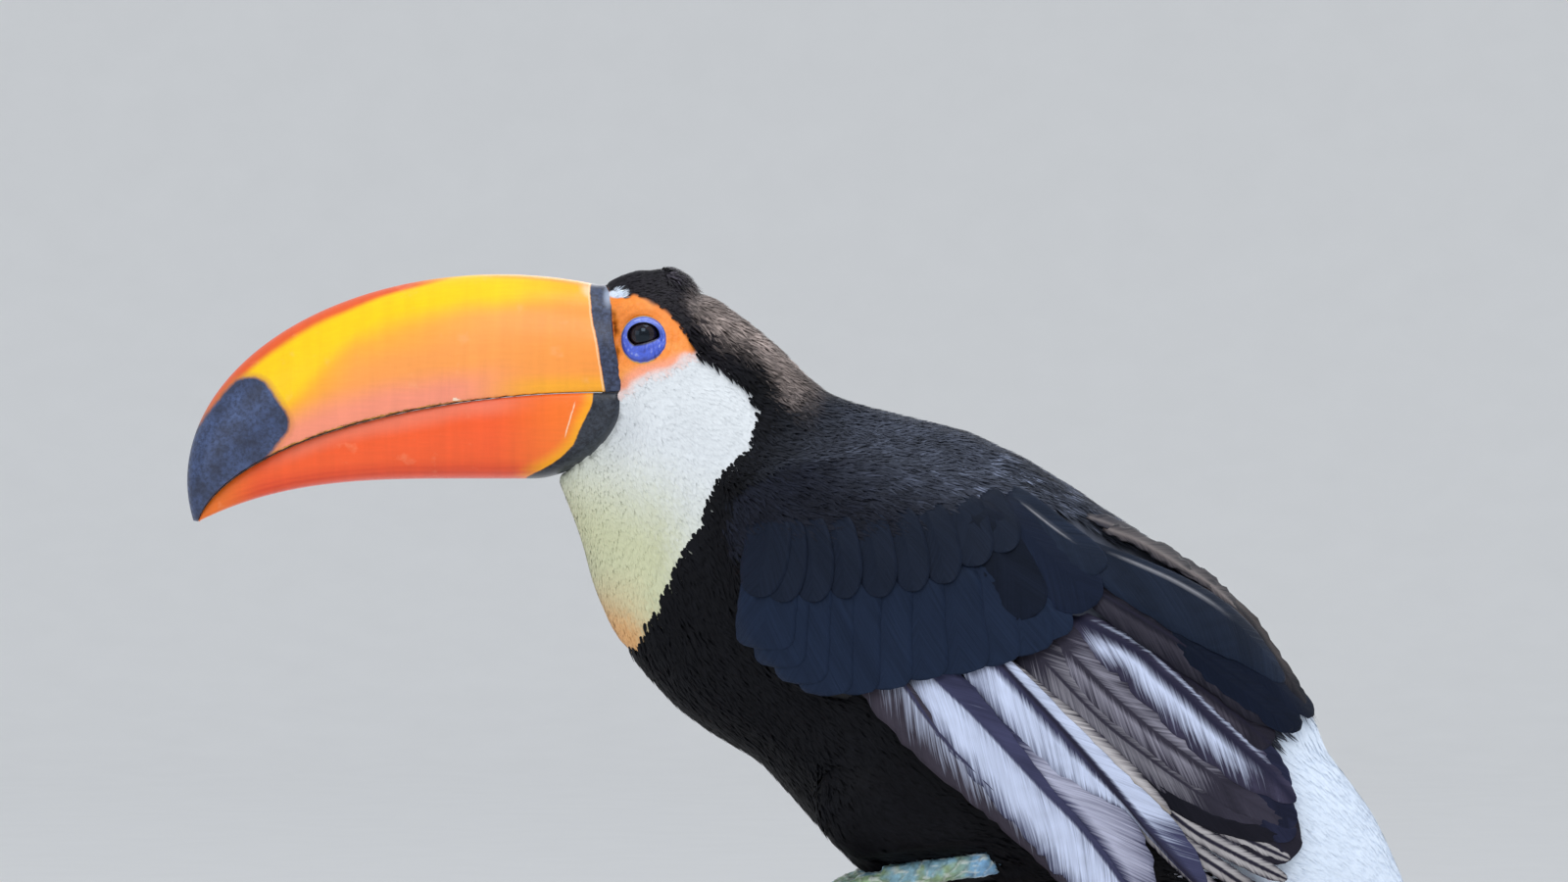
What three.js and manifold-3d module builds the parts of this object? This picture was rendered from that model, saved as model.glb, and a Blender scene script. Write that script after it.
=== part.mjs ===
// A toco toucan, life size, crouched on a cut length of branch that a plain display stand holds up.
// Millimetres. The bird faces -X, its left side faces -Y, and +Z is up.
// The origin is the middle of the stand's underside.
import * as THREE from "three";
import { mergeVertices } from "three/addons/utils/BufferGeometryUtils.js";
import Module from "manifold-3d";

const wasm = await Module();
wasm.setup();

// ---- driving dimensions ----
const GAP = 0.3; // clearance between neighbouring solids
const PERCH_RADIUS = 15;
const PERCH_LENGTH = 168;
const PERCH_X = -20;
const PERCH_Z = 150; // height of the perch's axis over the floor
const BASE = { length: 236, width: 176, thick: 18, corner: 30, bevel: 3 };
const ROD = { radius: 4, y: 62, collar: 9, collarTop: 7.2, collarHeight: 5 };

// The bill in side view. The culmen is an arc of one ellipse; the mouth line is a superellipse.
const CULMEN = { x: -154.8, z: 317, a: 114.8, b: 75.6, from: 72, to: 191.3 };
const MOUTH = { x: -118.8, z: 297.2, a: 147.6, b: 52.2, power: 1.9, back: -110.2, tip: -265.6, pace: 1.93 };
const GONYS = {
  z: 317.6,
  curveFrom: -165.6,
  curveTo: -266,
  drop: 16,
  power: 3.2,
  lobeX: -142.2,
  lobeZ: 344,
  lobePower: 1.75,
};
const BILL_HALF_WIDTH = 21.5;
const BILL_TIP_SHARE = 0.1; // the blunt tip's width as a share of the base's
const BILL_TAPER = [1.5, 0.75]; // powers of the curve the width follows to the tip
const BILL_BACK = -109.4; // the rearmost point of the lower bill's lobe
const BILL_EDGE_HEIGHT = 0.8; // no section of the bill is lower than this
const BILL_CORE = 0.4; // how far up a section the middle of its end cap lies
const LOWER_BILL = { widthShare: 0.97, lobeShare: 0.86, lobeLength: 8 }; // narrower, most at the lobe

// Eyes: an eyeball shows through a round opening in the side of the head.
const EYE = { x: -102.4, z: 370.4, radius: 7, y: 17.4 };

// Sections of head, neck, body and tail coverts, from the bill backwards. Each runs from a point on the
// back line to one on the belly line. full is how far down it is widest. low shapes its lower half: under
// 2 it narrows like an egg. wing is how far the folded wing stands out at the side, over how far it lies
// over the back, and drop how far it hangs under the belly line.
const SECTIONS = [
  { back: [-118, 388.5], belly: [-133, 319], half: 16.5, full: 0.4, low: 1.7, wing: 0, over: 0, drop: 0 },
  { back: [-108, 393.5], belly: [-129, 309.5], half: 21.5, full: 0.35, low: 1.7, wing: 0, over: 0, drop: 0 },
  { back: [-92, 395], belly: [-123.5, 294.5], half: 24, full: 0.34, low: 1.75, wing: 0, over: 0, drop: 0 },
  { back: [-80, 386.2], belly: [-118.5, 276.5], half: 25.5, full: 0.36, low: 1.85, wing: 0, over: 0, drop: 0 },
  { back: [-56, 369], belly: [-110.5, 259.5], half: 28, full: 0.42, low: 1.95, wing: 1.2, over: 0, drop: 0 },
  { back: [-34.5, 349], belly: [-99, 243.5], half: 34, full: 0.46, low: 2.05, wing: 4, over: 0, drop: 0 },
  { back: [-12.5, 342], belly: [-84, 228], half: 42, full: 0.48, low: 2.1, wing: 5.5, over: 0, drop: 0 },
  { back: [18, 334.5], belly: [-59.5, 213.5], half: 46, full: 0.5, low: 2.15, wing: 6, over: 0, drop: 0 },
  { back: [50.5, 318], belly: [-38, 189.5], half: 47, full: 0.5, low: 2.1, wing: 6, over: 0, drop: 3 },
  { back: [83, 296], belly: [-19, 171], half: 44, full: 0.48, low: 2.05, wing: 6, over: 1.5, drop: 8 },
  { back: [111.5, 276.5], belly: [18, 165], half: 38, full: 0.48, low: 2, wing: 6, over: 3.5, drop: 22 },
  { back: [133, 250.5], belly: [57.5, 162], half: 31, full: 0.48, low: 2, wing: 6, over: 4.5, drop: 34 },
  { back: [146, 227.5], belly: [93.5, 162], half: 25, full: 0.48, low: 2, wing: 5.5, over: 3.5, drop: 40 },
  { back: [165.5, 197], belly: [122.5, 158.5], half: 21, full: 0.48, low: 2, wing: 4, over: 0, drop: 42 },
  { back: [178, 169.5], belly: [142.5, 147], half: 19, full: 0.47, low: 2, wing: 3, over: 0, drop: 42 },
  { back: [187, 144], belly: [158.5, 126.5], half: 17.5, full: 0.45, low: 2, wing: 0, over: 0, drop: 42 },
  { back: [192, 121.5], belly: [176, 114.5], half: 15, full: 0.5, low: 2, wing: 0, over: 0, drop: 42 },
];
// Where the body is parted, as section numbers.
const CUT = { front: 0, neck: 3.3, trunk: 5.1, rump: 12.6, end: SECTIONS.length - 1 };
const WING_FROM = 3.5; // the section where the folded wing starts
const CUT_GAP = 0.02; // in section numbers, about GAP
const BODY_SIDES = 22;
const BODY_POWER = 2.15; // of the superellipse that sections follow over their widest line

// The tail: ten long feathers folded into one arched fan, along a shallow curve.
const TAIL = {
  base: [161, 168],
  bend: [187, 112],
  tip: [213, 45],
  halfWidth: [14, 26],
  halfThick: [5, 1.8],
  arch: 5,
  roundEnd: 0.1, // the share of its length in which the end rounds off
  roundPower: 2.6,
};

// The folded wing in side view: the front and lower edge of its coverts, and its flight feathers as
// strips fanned between two lines of roots and tips.
const COVERT_EDGE = [
  [-25, 325],
  [-55, 322],
  [-72, 312],
  [-69, 285],
  [-62, 260],
  [-50, 245],
  [-34, 238],
  [-5, 244.5],
  [22, 248],
  [38, 254],
  [50, 268],
];
const TERTIAL_EDGE = [
  [76, 262],
  [105, 243],
  [135, 226],
  [147, 224],
];
const WING_TOP = [
  [154, 228],
  [146, 256],
  [122, 284],
  [84, 300],
  [30, 317],
  [-10, 324],
];
const FLIGHT = {
  count: 14,
  roots: [[-26, 240], [8, 252], [40, 262], [64, 276]],
  tips: [
    [32, 186],
    [70, 157],
    [94, 149.5],
    [103, 170],
    [124, 174],
    [133, 172.5],
    [138, 188],
    [136, 206],
    [133, 222],
  ],
  halfWidth: [6.5, 8],
  thick: 3,
};

// Legs: the thigh runs from the knee to the heel, and the shank forward again to the foot on the perch.
// Shares are of a limb's length: fullest is where the thigh swells most, cap where its end rounds off, and
// knobEnd where the heel's knob ends. lean turns the sections square to a limb that slopes in side view.
const LEG_Y = 23;
const THIGH = {
  knee: [-42, 206, 33],
  heel: [31, 180, 24],
  half: [9, 19, 5.2],
  side: 13,
  fullest: 0.35,
  cap: 0.12,
  lean: 0.33,
};
const SHANK = {
  heel: [33.5, 178.6],
  foot: [-14, 172.3],
  half: 4.4,
  side: 3.6,
  knob: 1.2,
  knobEnd: 0.16,
  endShare: 0.75,
  lean: -0.12,
};
const PAD = { x: -18, z: 170, half: [7.5, 6.5, 4.4] };
const TOE_WIDTH = 1.08; // a toe's width over its height
// Toes: side is the offset from the foot's middle at root and tip, turn the angles round the perch that a
// toe covers, from its root to its claw.
const TOES = [
  { name: "2", side: [-2.5, -9], turn: [96, 176], radius: [3.5, 2.6] },
  { name: "3", side: [3, 6], turn: [96, 196], radius: [3.7, 2.7] },
  { name: "4", side: [3, 9], turn: [84, -12], radius: [3.6, 2.6] },
  { name: "1", side: [-3, -6], turn: [84, 14], radius: [3.3, 2.4] },
];
// A claw starts clear degrees past its toe, and arches over the perch by lift more than it starts with.
const CLAW = { clear: 1.2, turn: 27, radius: [2, 0.35], startLift: 0.4, lift: 1.1, spread: 0.12 };

// The branch is not quite round: it has ribs and waves along it, and one knot.
const PERCH_RIBS = { count: 3, depth: 0.45, twist: 0.03 };
const PERCH_WAVES = { depth: 0.3, pace: 0.11 };
const PERCH_KNOT = { y: 4, length: 11, turn: -2.2, height: 1.6 };

// ---- small helpers ----
const mix = (a, b, t) => a + (b - a) * t;
const clamp = THREE.MathUtils.clamp;
const rad = THREE.MathUtils.degToRad;
const power = (v, e) => Math.sign(v) * Math.abs(v) ** e;
const colour = (hex, roughness = 0.7, metalness = 0) =>
  new THREE.MeshStandardMaterial({ color: hex, roughness, metalness });

/** A smooth plane curve through [x, z] points; at(t) takes t from 0 to 1, evenly spaced over the points. */
function curve(points) {
  const line = new THREE.CatmullRomCurve3(
    points.map(([x, z]) => new THREE.Vector3(x, 0, z)),
    false,
    "centripetal",
  );
  return (t) => line.getPoint(clamp(t, 0, 1));
}

/** The manifold-3d solid of a closed geometry. */
function solid(geometry) {
  const plain = geometry.index ? geometry.toNonIndexed() : geometry.clone();
  plain.deleteAttribute("normal");
  plain.deleteAttribute("uv");
  const merged = mergeVertices(plain, 1e-4);
  const triVerts = [];
  const index = merged.index.array;
  for (let i = 0; i < index.length; i += 3) {
    const [a, b, c] = index.slice(i, i + 3);
    if (a !== b && b !== c && a !== c) triVerts.push(a, b, c);
  }
  return new wasm.Manifold(
    new wasm.Mesh({
      numProp: 3,
      vertProperties: merged.attributes.position.array,
      triVerts: new Uint32Array(triVerts),
    }),
  );
}

/** The named mesh of a solid. */
function piece(name, body, material) {
  const found = body.getMesh();
  const geometry = new THREE.BufferGeometry()
    .setAttribute("position", new THREE.BufferAttribute(found.vertProperties, 3))
    .setIndex(new THREE.BufferAttribute(found.triVerts, 1));
  geometry.computeVertexNormals();
  const mesh = new THREE.Mesh(geometry, material);
  mesh.name = name;
  return mesh;
}

/**
 * A closed solid swept from section to section. at(t, angle, reach) gives a point: t runs from 0 to 1
 * along the sweep, angle once round the section, and reach is 1 on its edge and 0 in its middle.
 */
function sweep(steps, sides, at) {
  const geometry = new THREE.CylinderGeometry(1, 1, 1, sides, steps);
  const position = geometry.attributes.position;
  for (let i = 0; i < position.count; i++) {
    const x = position.getX(i);
    const z = position.getZ(i);
    const reach = Math.hypot(x, z) > 0.5 ? 1 : 0;
    position.setXYZ(i, ...at(position.getY(i) + 0.5, Math.atan2(x, z), reach));
  }
  const made = solid(geometry);
  return made.volume() > 0 ? made : solid(flipped(geometry));
}

/** The same geometry with its faces turned round. */
function flipped(geometry) {
  const turned = geometry.clone();
  const index = turned.index.array;
  for (let i = 0; i < index.length; i += 3) [index[i], index[i + 1]] = [index[i + 1], index[i]];
  return turned;
}

/** A prism of a side-view outline of [x, z] points, from y0 to y1. */
function prism(outline, y0, y1) {
  const shape = new THREE.Shape(outline.map(([x, z]) => new THREE.Vector2(x, z)));
  const geometry = new THREE.ExtrudeGeometry(shape, { depth: y1 - y0, bevelEnabled: false });
  geometry.rotateX(Math.PI / 2); // the outline's second axis becomes +Z, and the extrusion runs to -Y
  return solid(geometry.translate(0, y1, 0));
}

/** Points of a smooth line through the given ones. */
function smooth(points, count) {
  const line = curve(points);
  return Array.from({ length: count }, (_, i) => {
    const p = line(i / (count - 1));
    return [p.x, p.z];
  });
}

// ---- the body ----
const last = SECTIONS.length - 1;
const backLine = curve(SECTIONS.map((s) => s.back));
const bellyLine = curve(SECTIONS.map((s) => s.belly));
const named = (key) => {
  const line = curve(SECTIONS.map((s, i) => [i, s[key]]));
  return (n) => line(n / last).z;
};
const halfWidthAt = named("half");
const fullestAt = named("full");
const lowShapeAt = named("low");
const wingAt = named("wing");
const overAt = named("over");
const dropAt = named("drop");

/** A point of section n. grow moves the surface outwards; winged gives the folded wing's skin. */
function bodyPoint(n, angle, reach, grow, winged) {
  const top = backLine(n / last);
  const bottom = bellyLine(n / last);
  const along = top.clone().sub(bottom).normalize();
  if (winged) bottom.addScaledVector(along, -dropAt(n));
  else top.addScaledVector(along, -overAt(n));
  const height = top.distanceTo(bottom);
  const middle = top.clone().addScaledVector(along, -fullestAt(n) * height);
  const up = fullestAt(n) * height + grow;
  const down = (1 - fullestAt(n)) * height + grow;
  const side = halfWidthAt(n) + (winged ? wingAt(n) : 0) + grow;
  const c = Math.cos(angle);
  const lift = c > 0 ? up * power(c, 2 / BODY_POWER) : down * power(c, 2 / lowShapeAt(n));
  const p = middle.addScaledVector(along, lift * reach);
  return [p.x, side * power(Math.sin(angle), 2 / BODY_POWER) * reach, p.z];
}

const bodyPart = (from, to, steps, grow = 0, winged = false) =>
  sweep(steps, BODY_SIDES, (t, angle, reach) => bodyPoint(mix(from, to, t), angle, reach, grow, winged));

// ---- the bill ----
/** Height of the mouth line at x. */
function mouthZ(x) {
  const share = clamp((MOUTH.x - x) / MOUTH.a, 0, 1);
  return MOUTH.z + MOUTH.b * (1 - share ** MOUTH.power) ** (1 / MOUTH.power);
}

/** Height of the lower bill's underside at x: flat, dropping to the tip and rounding up into the lobe. */
function gonysZ(x) {
  if (x > GONYS.lobeX) {
    const share = clamp((x - GONYS.lobeX) / (BILL_BACK - GONYS.lobeX), 0, 1);
    const round = (1 - share ** GONYS.lobePower) ** (1 / GONYS.lobePower);
    return GONYS.lobeZ - (GONYS.lobeZ - GONYS.z) * round;
  }
  const share = clamp((GONYS.curveFrom - x) / (GONYS.curveFrom - GONYS.curveTo), 0, 1);
  return GONYS.z - GONYS.drop * share ** GONYS.power;
}

/** Half the bill's width, t from 0 at the face to 1 at the tip. */
function billHalf(t) {
  const [along, across] = BILL_TAPER;
  return BILL_HALF_WIDTH * mix(BILL_TIP_SHARE, 1, (1 - clamp(t, 0, 1) ** along) ** across);
}

/** Shares of the height and of the half width round a section, which is cut flat at the mouth. */
function billRing(angle) {
  const flat = -0.35; // the cosine of the angle at which the cut starts
  const up = Math.cos(angle);
  const side = Math.sin(angle);
  return up > flat ? [(up - flat) / (1 - flat), power(side, 0.92)] : [0, side];
}

function upperBill(grow = 0) {
  return sweep(20, 16, (t, angle, reach) => {
    const turn = rad(mix(CULMEN.from, CULMEN.to, t));
    const ridgeX = CULMEN.x + CULMEN.a * Math.cos(turn);
    const ridgeZ = CULMEN.z + CULMEN.b * Math.sin(turn);
    const mouthX = MOUTH.tip + (MOUTH.back - MOUTH.tip) * (1 - t) ** MOUTH.pace;
    const mouth = new THREE.Vector3(mouthX, 0, mouthZ(mouthX));
    const up = new THREE.Vector3(ridgeX, 0, ridgeZ).sub(mouth);
    const tall = Math.max(up.length(), BILL_EDGE_HEIGHT);
    up.normalize();
    const [h, w] = billRing(angle);
    const lift = mix(tall * BILL_CORE, mix(-grow, tall + grow, h), reach);
    const p = mouth.addScaledVector(up, lift);
    return [p.x + (t === 0 ? grow : 0), (billHalf(t) + grow) * w * reach, p.z];
  });
}

function lowerBill(grow = 0) {
  return sweep(18, 16, (t, angle, reach) => {
    const x = mix(BILL_BACK - 0.6, MOUTH.tip + 0.4, t ** 0.9);
    const top = mouthZ(Math.min(x, MOUTH.back)) - GAP;
    const tall = Math.max(top - gonysZ(x), BILL_EDGE_HEIGHT);
    const [h, w] = billRing(angle);
    const back = BILL_BACK - x;
    const lobe = clamp(back / LOWER_BILL.lobeLength + LOWER_BILL.lobeShare, 0, 1);
    const half = LOWER_BILL.widthShare * billHalf(back / (BILL_BACK - MOUTH.tip)) * lobe;
    const lift = mix(tall * BILL_CORE, mix(-grow, tall + grow, h), reach);
    return [x + (t === 0 ? grow : 0), (half + grow) * w * reach, top - lift];
  });
}

// ---- wings ----
/** The side outline of one flight feather: a strip with a rounded end. */
function featherOutline(root, tip, half) {
  const along = new THREE.Vector2(tip[0] - root[0], tip[1] - root[1]);
  const heading = along.angle();
  const points = [];
  const corner = (from, reach, turn) => {
    const a = heading + turn;
    points.push([from[0] + reach * Math.cos(a), from[1] + reach * Math.sin(a)]);
  };
  corner(root, half, rad(-90));
  const end = [tip[0] - half * Math.cos(heading), tip[1] - half * Math.sin(heading)];
  for (let turn = -90; turn <= 90; turn += 45) corner(end, half, rad(turn));
  corner(root, half, rad(90));
  return points;
}

const flightRoots = curve(FLIGHT.roots);
const flightTips = curve(FLIGHT.tips);

/** The fan of flight feathers of the wing on one side, as a prism. */
function flightFan(y0, y1) {
  let fan = null;
  for (let i = 0; i < FLIGHT.count; i++) {
    const t = i / (FLIGHT.count - 1);
    const root = flightRoots(t);
    const tip = flightTips(t);
    const strip = prism(
      featherOutline([root.x, root.z], [tip.x, tip.z], mix(...FLIGHT.halfWidth, t)),
      y0,
      y1,
    );
    fan = fan ? fan.add(strip) : strip;
  }
  return fan;
}

function wing(side) {
  const [y0, y1] = side < 0 ? [-90, -GAP] : [GAP, 90];
  const covertOutline = [...smooth(COVERT_EDGE, 22), ...smooth(TERTIAL_EDGE, 6), ...smooth(WING_TOP, 9)];
  const coverts = prism(covertOutline, y0, y1);
  const envelope = bodyPart(WING_FROM, CUT.end, 17, 0, true);
  const under = bodyPart(WING_FROM, CUT.end, 25, GAP);
  const thinInner = bodyPart(WING_FROM, CUT.end, 17, -FLIGHT.thick, true);
  const covertPart = envelope.intersect(coverts).subtract(under);
  const covertCutter = prism(covertOutline, y0, y1).translate([0, 0, -GAP]);
  const flightPart = envelope
    .intersect(flightFan(y0, y1))
    .subtract(thinInner)
    .subtract(under)
    .subtract(coverts)
    .subtract(covertCutter);
  return { covertPart, flightPart };
}

// ---- legs and feet ----
const perchPoint = (reach, turn) => [
  PERCH_X + reach * Math.cos(rad(turn)),
  PERCH_Z + reach * Math.sin(rad(turn)),
];

/** Half the thigh's height, t from 0 at the knee to 1 at the heel. */
function thighHalf(t) {
  const { half, fullest, cap } = THIGH;
  const [start, most, end] = half;
  const rise = Math.sin(clamp(t / fullest, 0, 1) * (Math.PI / 2));
  const fall = clamp((t - fullest) / (1 - fullest), 0, 1) ** 1.1;
  return mix(mix(start, most, rise), end, fall) * Math.sqrt(clamp(t / cap, 0, 1));
}

function thigh(side) {
  return sweep(9, 12, (t, angle, reach) => {
    const x = mix(THIGH.knee[0], THIGH.heel[0], t);
    const z = mix(THIGH.knee[1], THIGH.heel[1], t);
    const y = side * mix(THIGH.knee[2], THIGH.heel[2], t);
    const rise = reach * thighHalf(t) * Math.cos(angle);
    const wide = reach * thighHalf(t) * (THIGH.side / THIGH.half[1]) * Math.sin(angle);
    return [x + rise * THIGH.lean, y + wide, z + rise];
  });
}

function shank(side, grow = 0) {
  return sweep(6, 10, (t, angle, reach) => {
    const x = mix(SHANK.heel[0], SHANK.foot[0], t);
    const z = mix(SHANK.heel[1], SHANK.foot[1], t);
    const knob = mix(SHANK.knob, 1, clamp(t / SHANK.knobEnd, 0, 1) ** 0.7);
    const cap = t === 0 ? SHANK.endShare : 1;
    const rise = reach * (SHANK.half * knob * cap + grow) * Math.cos(angle);
    const wide = reach * (SHANK.side * knob * cap + grow) * Math.sin(angle);
    return [x + rise * SHANK.lean, side * LEG_Y + wide, z + rise];
  });
}

/** A tube round the perch from one turn to another, its radius mixed along it. */
function wrap(side, from, to, radii, offset, steps, sides, lift = () => 0) {
  return sweep(steps, sides, (t, angle, reach) => {
    const r = mix(...radii, t);
    const away = PERCH_RADIUS + GAP + r + lift(t);
    const [x, z] = perchPoint(away + reach * r * Math.cos(angle), mix(from, to, t));
    const y = side * (LEG_Y + mix(...offset, t)) + reach * r * TOE_WIDTH * Math.sin(angle);
    return [x, y, z];
  });
}

function foot(side, grow = 0) {
  const [a, b, c] = PAD.half.map((v) => v + grow);
  const pad = new THREE.SphereGeometry(1, 10, 7).scale(a, b, c).translate(PAD.x, side * LEG_Y, PAD.z);
  let made = solid(pad);
  for (const toe of TOES) {
    const radii = toe.radius.map((r) => r + grow);
    made = made.add(wrap(side, ...toe.turn, radii, toe.side, 7, 7));
  }
  return made;
}

function claw(side, toe) {
  const [root, end] = toe.turn;
  const way = Math.sign(end - root);
  const offset = [toe.side[1], toe.side[1] + CLAW.spread * (toe.side[1] - toe.side[0])];
  const from = end + way * CLAW.clear;
  const lift = (t) => CLAW.startLift + CLAW.lift * Math.sin(t * Math.PI);
  return wrap(side, from, from + way * CLAW.turn, CLAW.radius, offset, 4, 5, lift);
}

// ---- tail ----
function tail() {
  const line = curve([TAIL.base, TAIL.bend, TAIL.tip]);
  return sweep(12, 14, (share, angle, reach) => {
    const t = 1 - (1 - share) ** 1.7; // closer steps towards the tip
    const p = line(t);
    const ahead = line(t + 0.01).sub(line(t - 0.01)).normalize();
    const inEnd = clamp(1 - (1 - t) / TAIL.roundEnd, 0, 0.985);
    const rounding = (1 - inEnd ** TAIL.roundPower) ** (1 / TAIL.roundPower);
    const wide = mix(...TAIL.halfWidth, Math.sin((t * Math.PI) / 2)) * rounding;
    const thick = mix(...TAIL.halfThick, t);
    const across = reach * Math.sin(angle);
    const arched = TAIL.arch * (across * rounding) ** 2;
    const lift = reach * thick * power(Math.cos(angle), 0.8) - arched;
    return [p.x - ahead.z * lift, wide * power(across, 0.9), p.z + ahead.x * lift];
  });
}

// ---- perch and stand ----
/** The branch: a straight, uneven round, cut off at both ends. */
function perch(grow = 0) {
  return sweep(8, 18, (t, angle, reach) => {
    const y = mix(-0.5, 0.5, t) * PERCH_LENGTH;
    const facing = Math.max(0, Math.cos(angle - PERCH_KNOT.turn));
    const knot = PERCH_KNOT.height * facing * Math.exp(-(((y - PERCH_KNOT.y) / PERCH_KNOT.length) ** 2));
    const ribs = PERCH_RIBS.depth * (1 + Math.sin(PERCH_RIBS.count * angle + y * PERCH_RIBS.twist));
    const waves = PERCH_WAVES.depth * (1 + Math.sin(y * PERCH_WAVES.pace + angle));
    const r = PERCH_RADIUS - ribs - waves + knot + grow;
    return [PERCH_X + reach * r * Math.sin(angle), y, PERCH_Z + reach * r * Math.cos(angle)];
  });
}

function standRod(side) {
  const bottom = BASE.thick;
  const tall = PERCH_Z - bottom;
  const rod = new THREE.CylinderGeometry(ROD.radius, ROD.radius, tall, 14).rotateX(Math.PI / 2);
  const collar = new THREE.CylinderGeometry(ROD.collarTop, ROD.collar, ROD.collarHeight, 14);
  collar.rotateX(Math.PI / 2);
  const x = PERCH_X;
  const y = side * ROD.y;
  return solid(rod.translate(x, y, bottom + tall / 2))
    .add(solid(collar.translate(x, y, bottom + ROD.collarHeight / 2)))
    .subtract(perch(GAP));
}

function standBase() {
  const { length, width, thick, corner, bevel } = BASE;
  const [hx, hy] = [length / 2 - bevel, width / 2 - bevel];
  const shape = new THREE.Shape();
  const corners = [[hx, -hy, -90], [hx, hy, 0], [-hx, hy, 90], [-hx, -hy, 180]];
  for (const [x, y, from] of corners) {
    const [cx, cy] = [x - Math.sign(x) * corner, y - Math.sign(y) * corner];
    shape.absarc(cx, cy, corner, rad(from), rad(from + 90), false);
  }
  const geometry = new THREE.ExtrudeGeometry(shape, {
    depth: thick - bevel,
    bevelThickness: bevel,
    bevelSize: bevel,
    bevelSegments: 1,
    curveSegments: 5,
  });
  const flat = prism([[-length, 0], [length, 0], [length, thick], [-length, thick]], -width, width);
  return solid(geometry).intersect(flat);
}

// ---- assembly ----
const skinBlack = colour(0x15161b, 0.6);
const brownBlack = colour(0x221e1d, 0.8);
const wingBlue = colour(0x171c2a, 0.5);
const flightGrey = colour(0x55535c, 0.6);
const white = colour(0xe8e8e2, 0.7);
const billOrange = colour(0xf79a1e, 0.35);
const billRed = colour(0xee6a25, 0.35);
const legBlue = colour(0x6f9bb5, 0.5);
const clawDark = colour(0x2c2b2b, 0.4);
const eyeDark = colour(0x120b08, 0.1);
const barkBrown = colour(0x6b5a48, 0.9);
const wood = colour(0x4a2d1b, 0.45);
const steel = colour(0x9a9a9a, 0.35, 0.9);

const group = new THREE.Group();
group.name = "toco_toucan";
const add = (name, body, material) => group.add(piece(name, body, material));

const billCutter = upperBill(GAP).add(lowerBill(GAP));
add("bill_upper", upperBill(), billOrange);
add("bill_lower", lowerBill().subtract(upperBill(GAP * 0.5)), billRed);

/** The eyeball on one side, or the hollow it needs when r is larger. */
function eyeball(side, r) {
  const geometry = new THREE.SphereGeometry(r, 12, 8).rotateX(Math.PI / 2);
  return solid(geometry.translate(EYE.x, side * EYE.y, EYE.z));
}

let head = bodyPart(CUT.front, CUT.neck - CUT_GAP, 9).subtract(billCutter);
for (const [name, side] of [["left", -1], ["right", 1]]) {
  add(`eye_${name}`, eyeball(side, EYE.radius), eyeDark);
  head = head.subtract(eyeball(side, EYE.radius + GAP));
}
// The bill's cutter can part slivers from the front of the head; the head is the largest body.
const largest = (body) => body.decompose().reduce((a, b) => (b.volume() > a.volume() ? b : a));
add("head", largest(head), brownBlack);
add("neck", bodyPart(CUT.neck, CUT.trunk - CUT_GAP, 4), white);

const legCutter = (side) => shank(side, GAP).add(foot(side, GAP));
const limbs = legCutter(-1).add(legCutter(1));
const trunk = bodyPart(CUT.trunk, CUT.rump - CUT_GAP, 12).subtract(limbs).subtract(perch(GAP));
add("trunk", largest(trunk), skinBlack);
add("tail_coverts", bodyPart(CUT.rump, CUT.end, 7), white);
add("tail", largest(tail().subtract(bodyPart(CUT.rump - 1, CUT.end, 8, GAP))), skinBlack);

for (const [name, side] of [["left", -1], ["right", 1]]) {
  const { covertPart, flightPart } = wing(side);
  add(`wing_${name}_coverts`, largest(covertPart), wingBlue);
  add(`wing_${name}_flight`, largest(flightPart), flightGrey);
  const wingCutter = covertPart.add(flightPart);
  const flank = bodyPart(CUT.trunk, CUT.rump - CUT_GAP, 12, 2 * GAP);
  const drumstick = thigh(side).subtract(flank).subtract(legCutter(side)).subtract(wingCutter);
  add(`thigh_${name}`, largest(drumstick), skinBlack);
  add(`shank_${name}`, largest(shank(side).subtract(foot(side, GAP))), legBlue);
  add(`foot_${name}`, foot(side), legBlue);
  for (const toe of TOES) add(`claw_${name}_${toe.name}`, claw(side, toe), clawDark);
}

add("perch", perch(), barkBrown);
add("stand_rod_left", standRod(-1), steel);
add("stand_rod_right", standRod(1), steel);
add("stand_base", standBase(), wood);

export default group;
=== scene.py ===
"""A toco toucan on its perch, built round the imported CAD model.

It gives the model its skin, feathers, bill, eyes, legs, perch and stand. Lengths are in millimetres until a
mesh is made, and the bird faces -X with its left side towards -Y.
"""

import math

import bmesh
import bpy
import numpy as np
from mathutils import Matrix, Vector
from mathutils.bvhtree import BVHTree
from mathutils.kdtree import KDTree


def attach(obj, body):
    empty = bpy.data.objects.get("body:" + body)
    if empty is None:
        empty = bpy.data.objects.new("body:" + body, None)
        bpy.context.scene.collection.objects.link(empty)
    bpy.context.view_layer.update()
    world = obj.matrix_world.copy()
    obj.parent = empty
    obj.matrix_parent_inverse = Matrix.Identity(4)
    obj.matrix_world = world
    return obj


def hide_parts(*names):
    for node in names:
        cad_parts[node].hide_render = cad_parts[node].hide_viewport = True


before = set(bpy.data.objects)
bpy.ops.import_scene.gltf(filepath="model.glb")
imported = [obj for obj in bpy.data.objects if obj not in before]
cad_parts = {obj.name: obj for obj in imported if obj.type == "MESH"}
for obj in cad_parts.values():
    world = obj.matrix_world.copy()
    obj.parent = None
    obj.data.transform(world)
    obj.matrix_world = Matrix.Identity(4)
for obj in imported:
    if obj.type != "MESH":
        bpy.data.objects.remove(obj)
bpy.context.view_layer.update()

MM = 0.001
SIDES = (("left", -1), ("right", 1))

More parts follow.
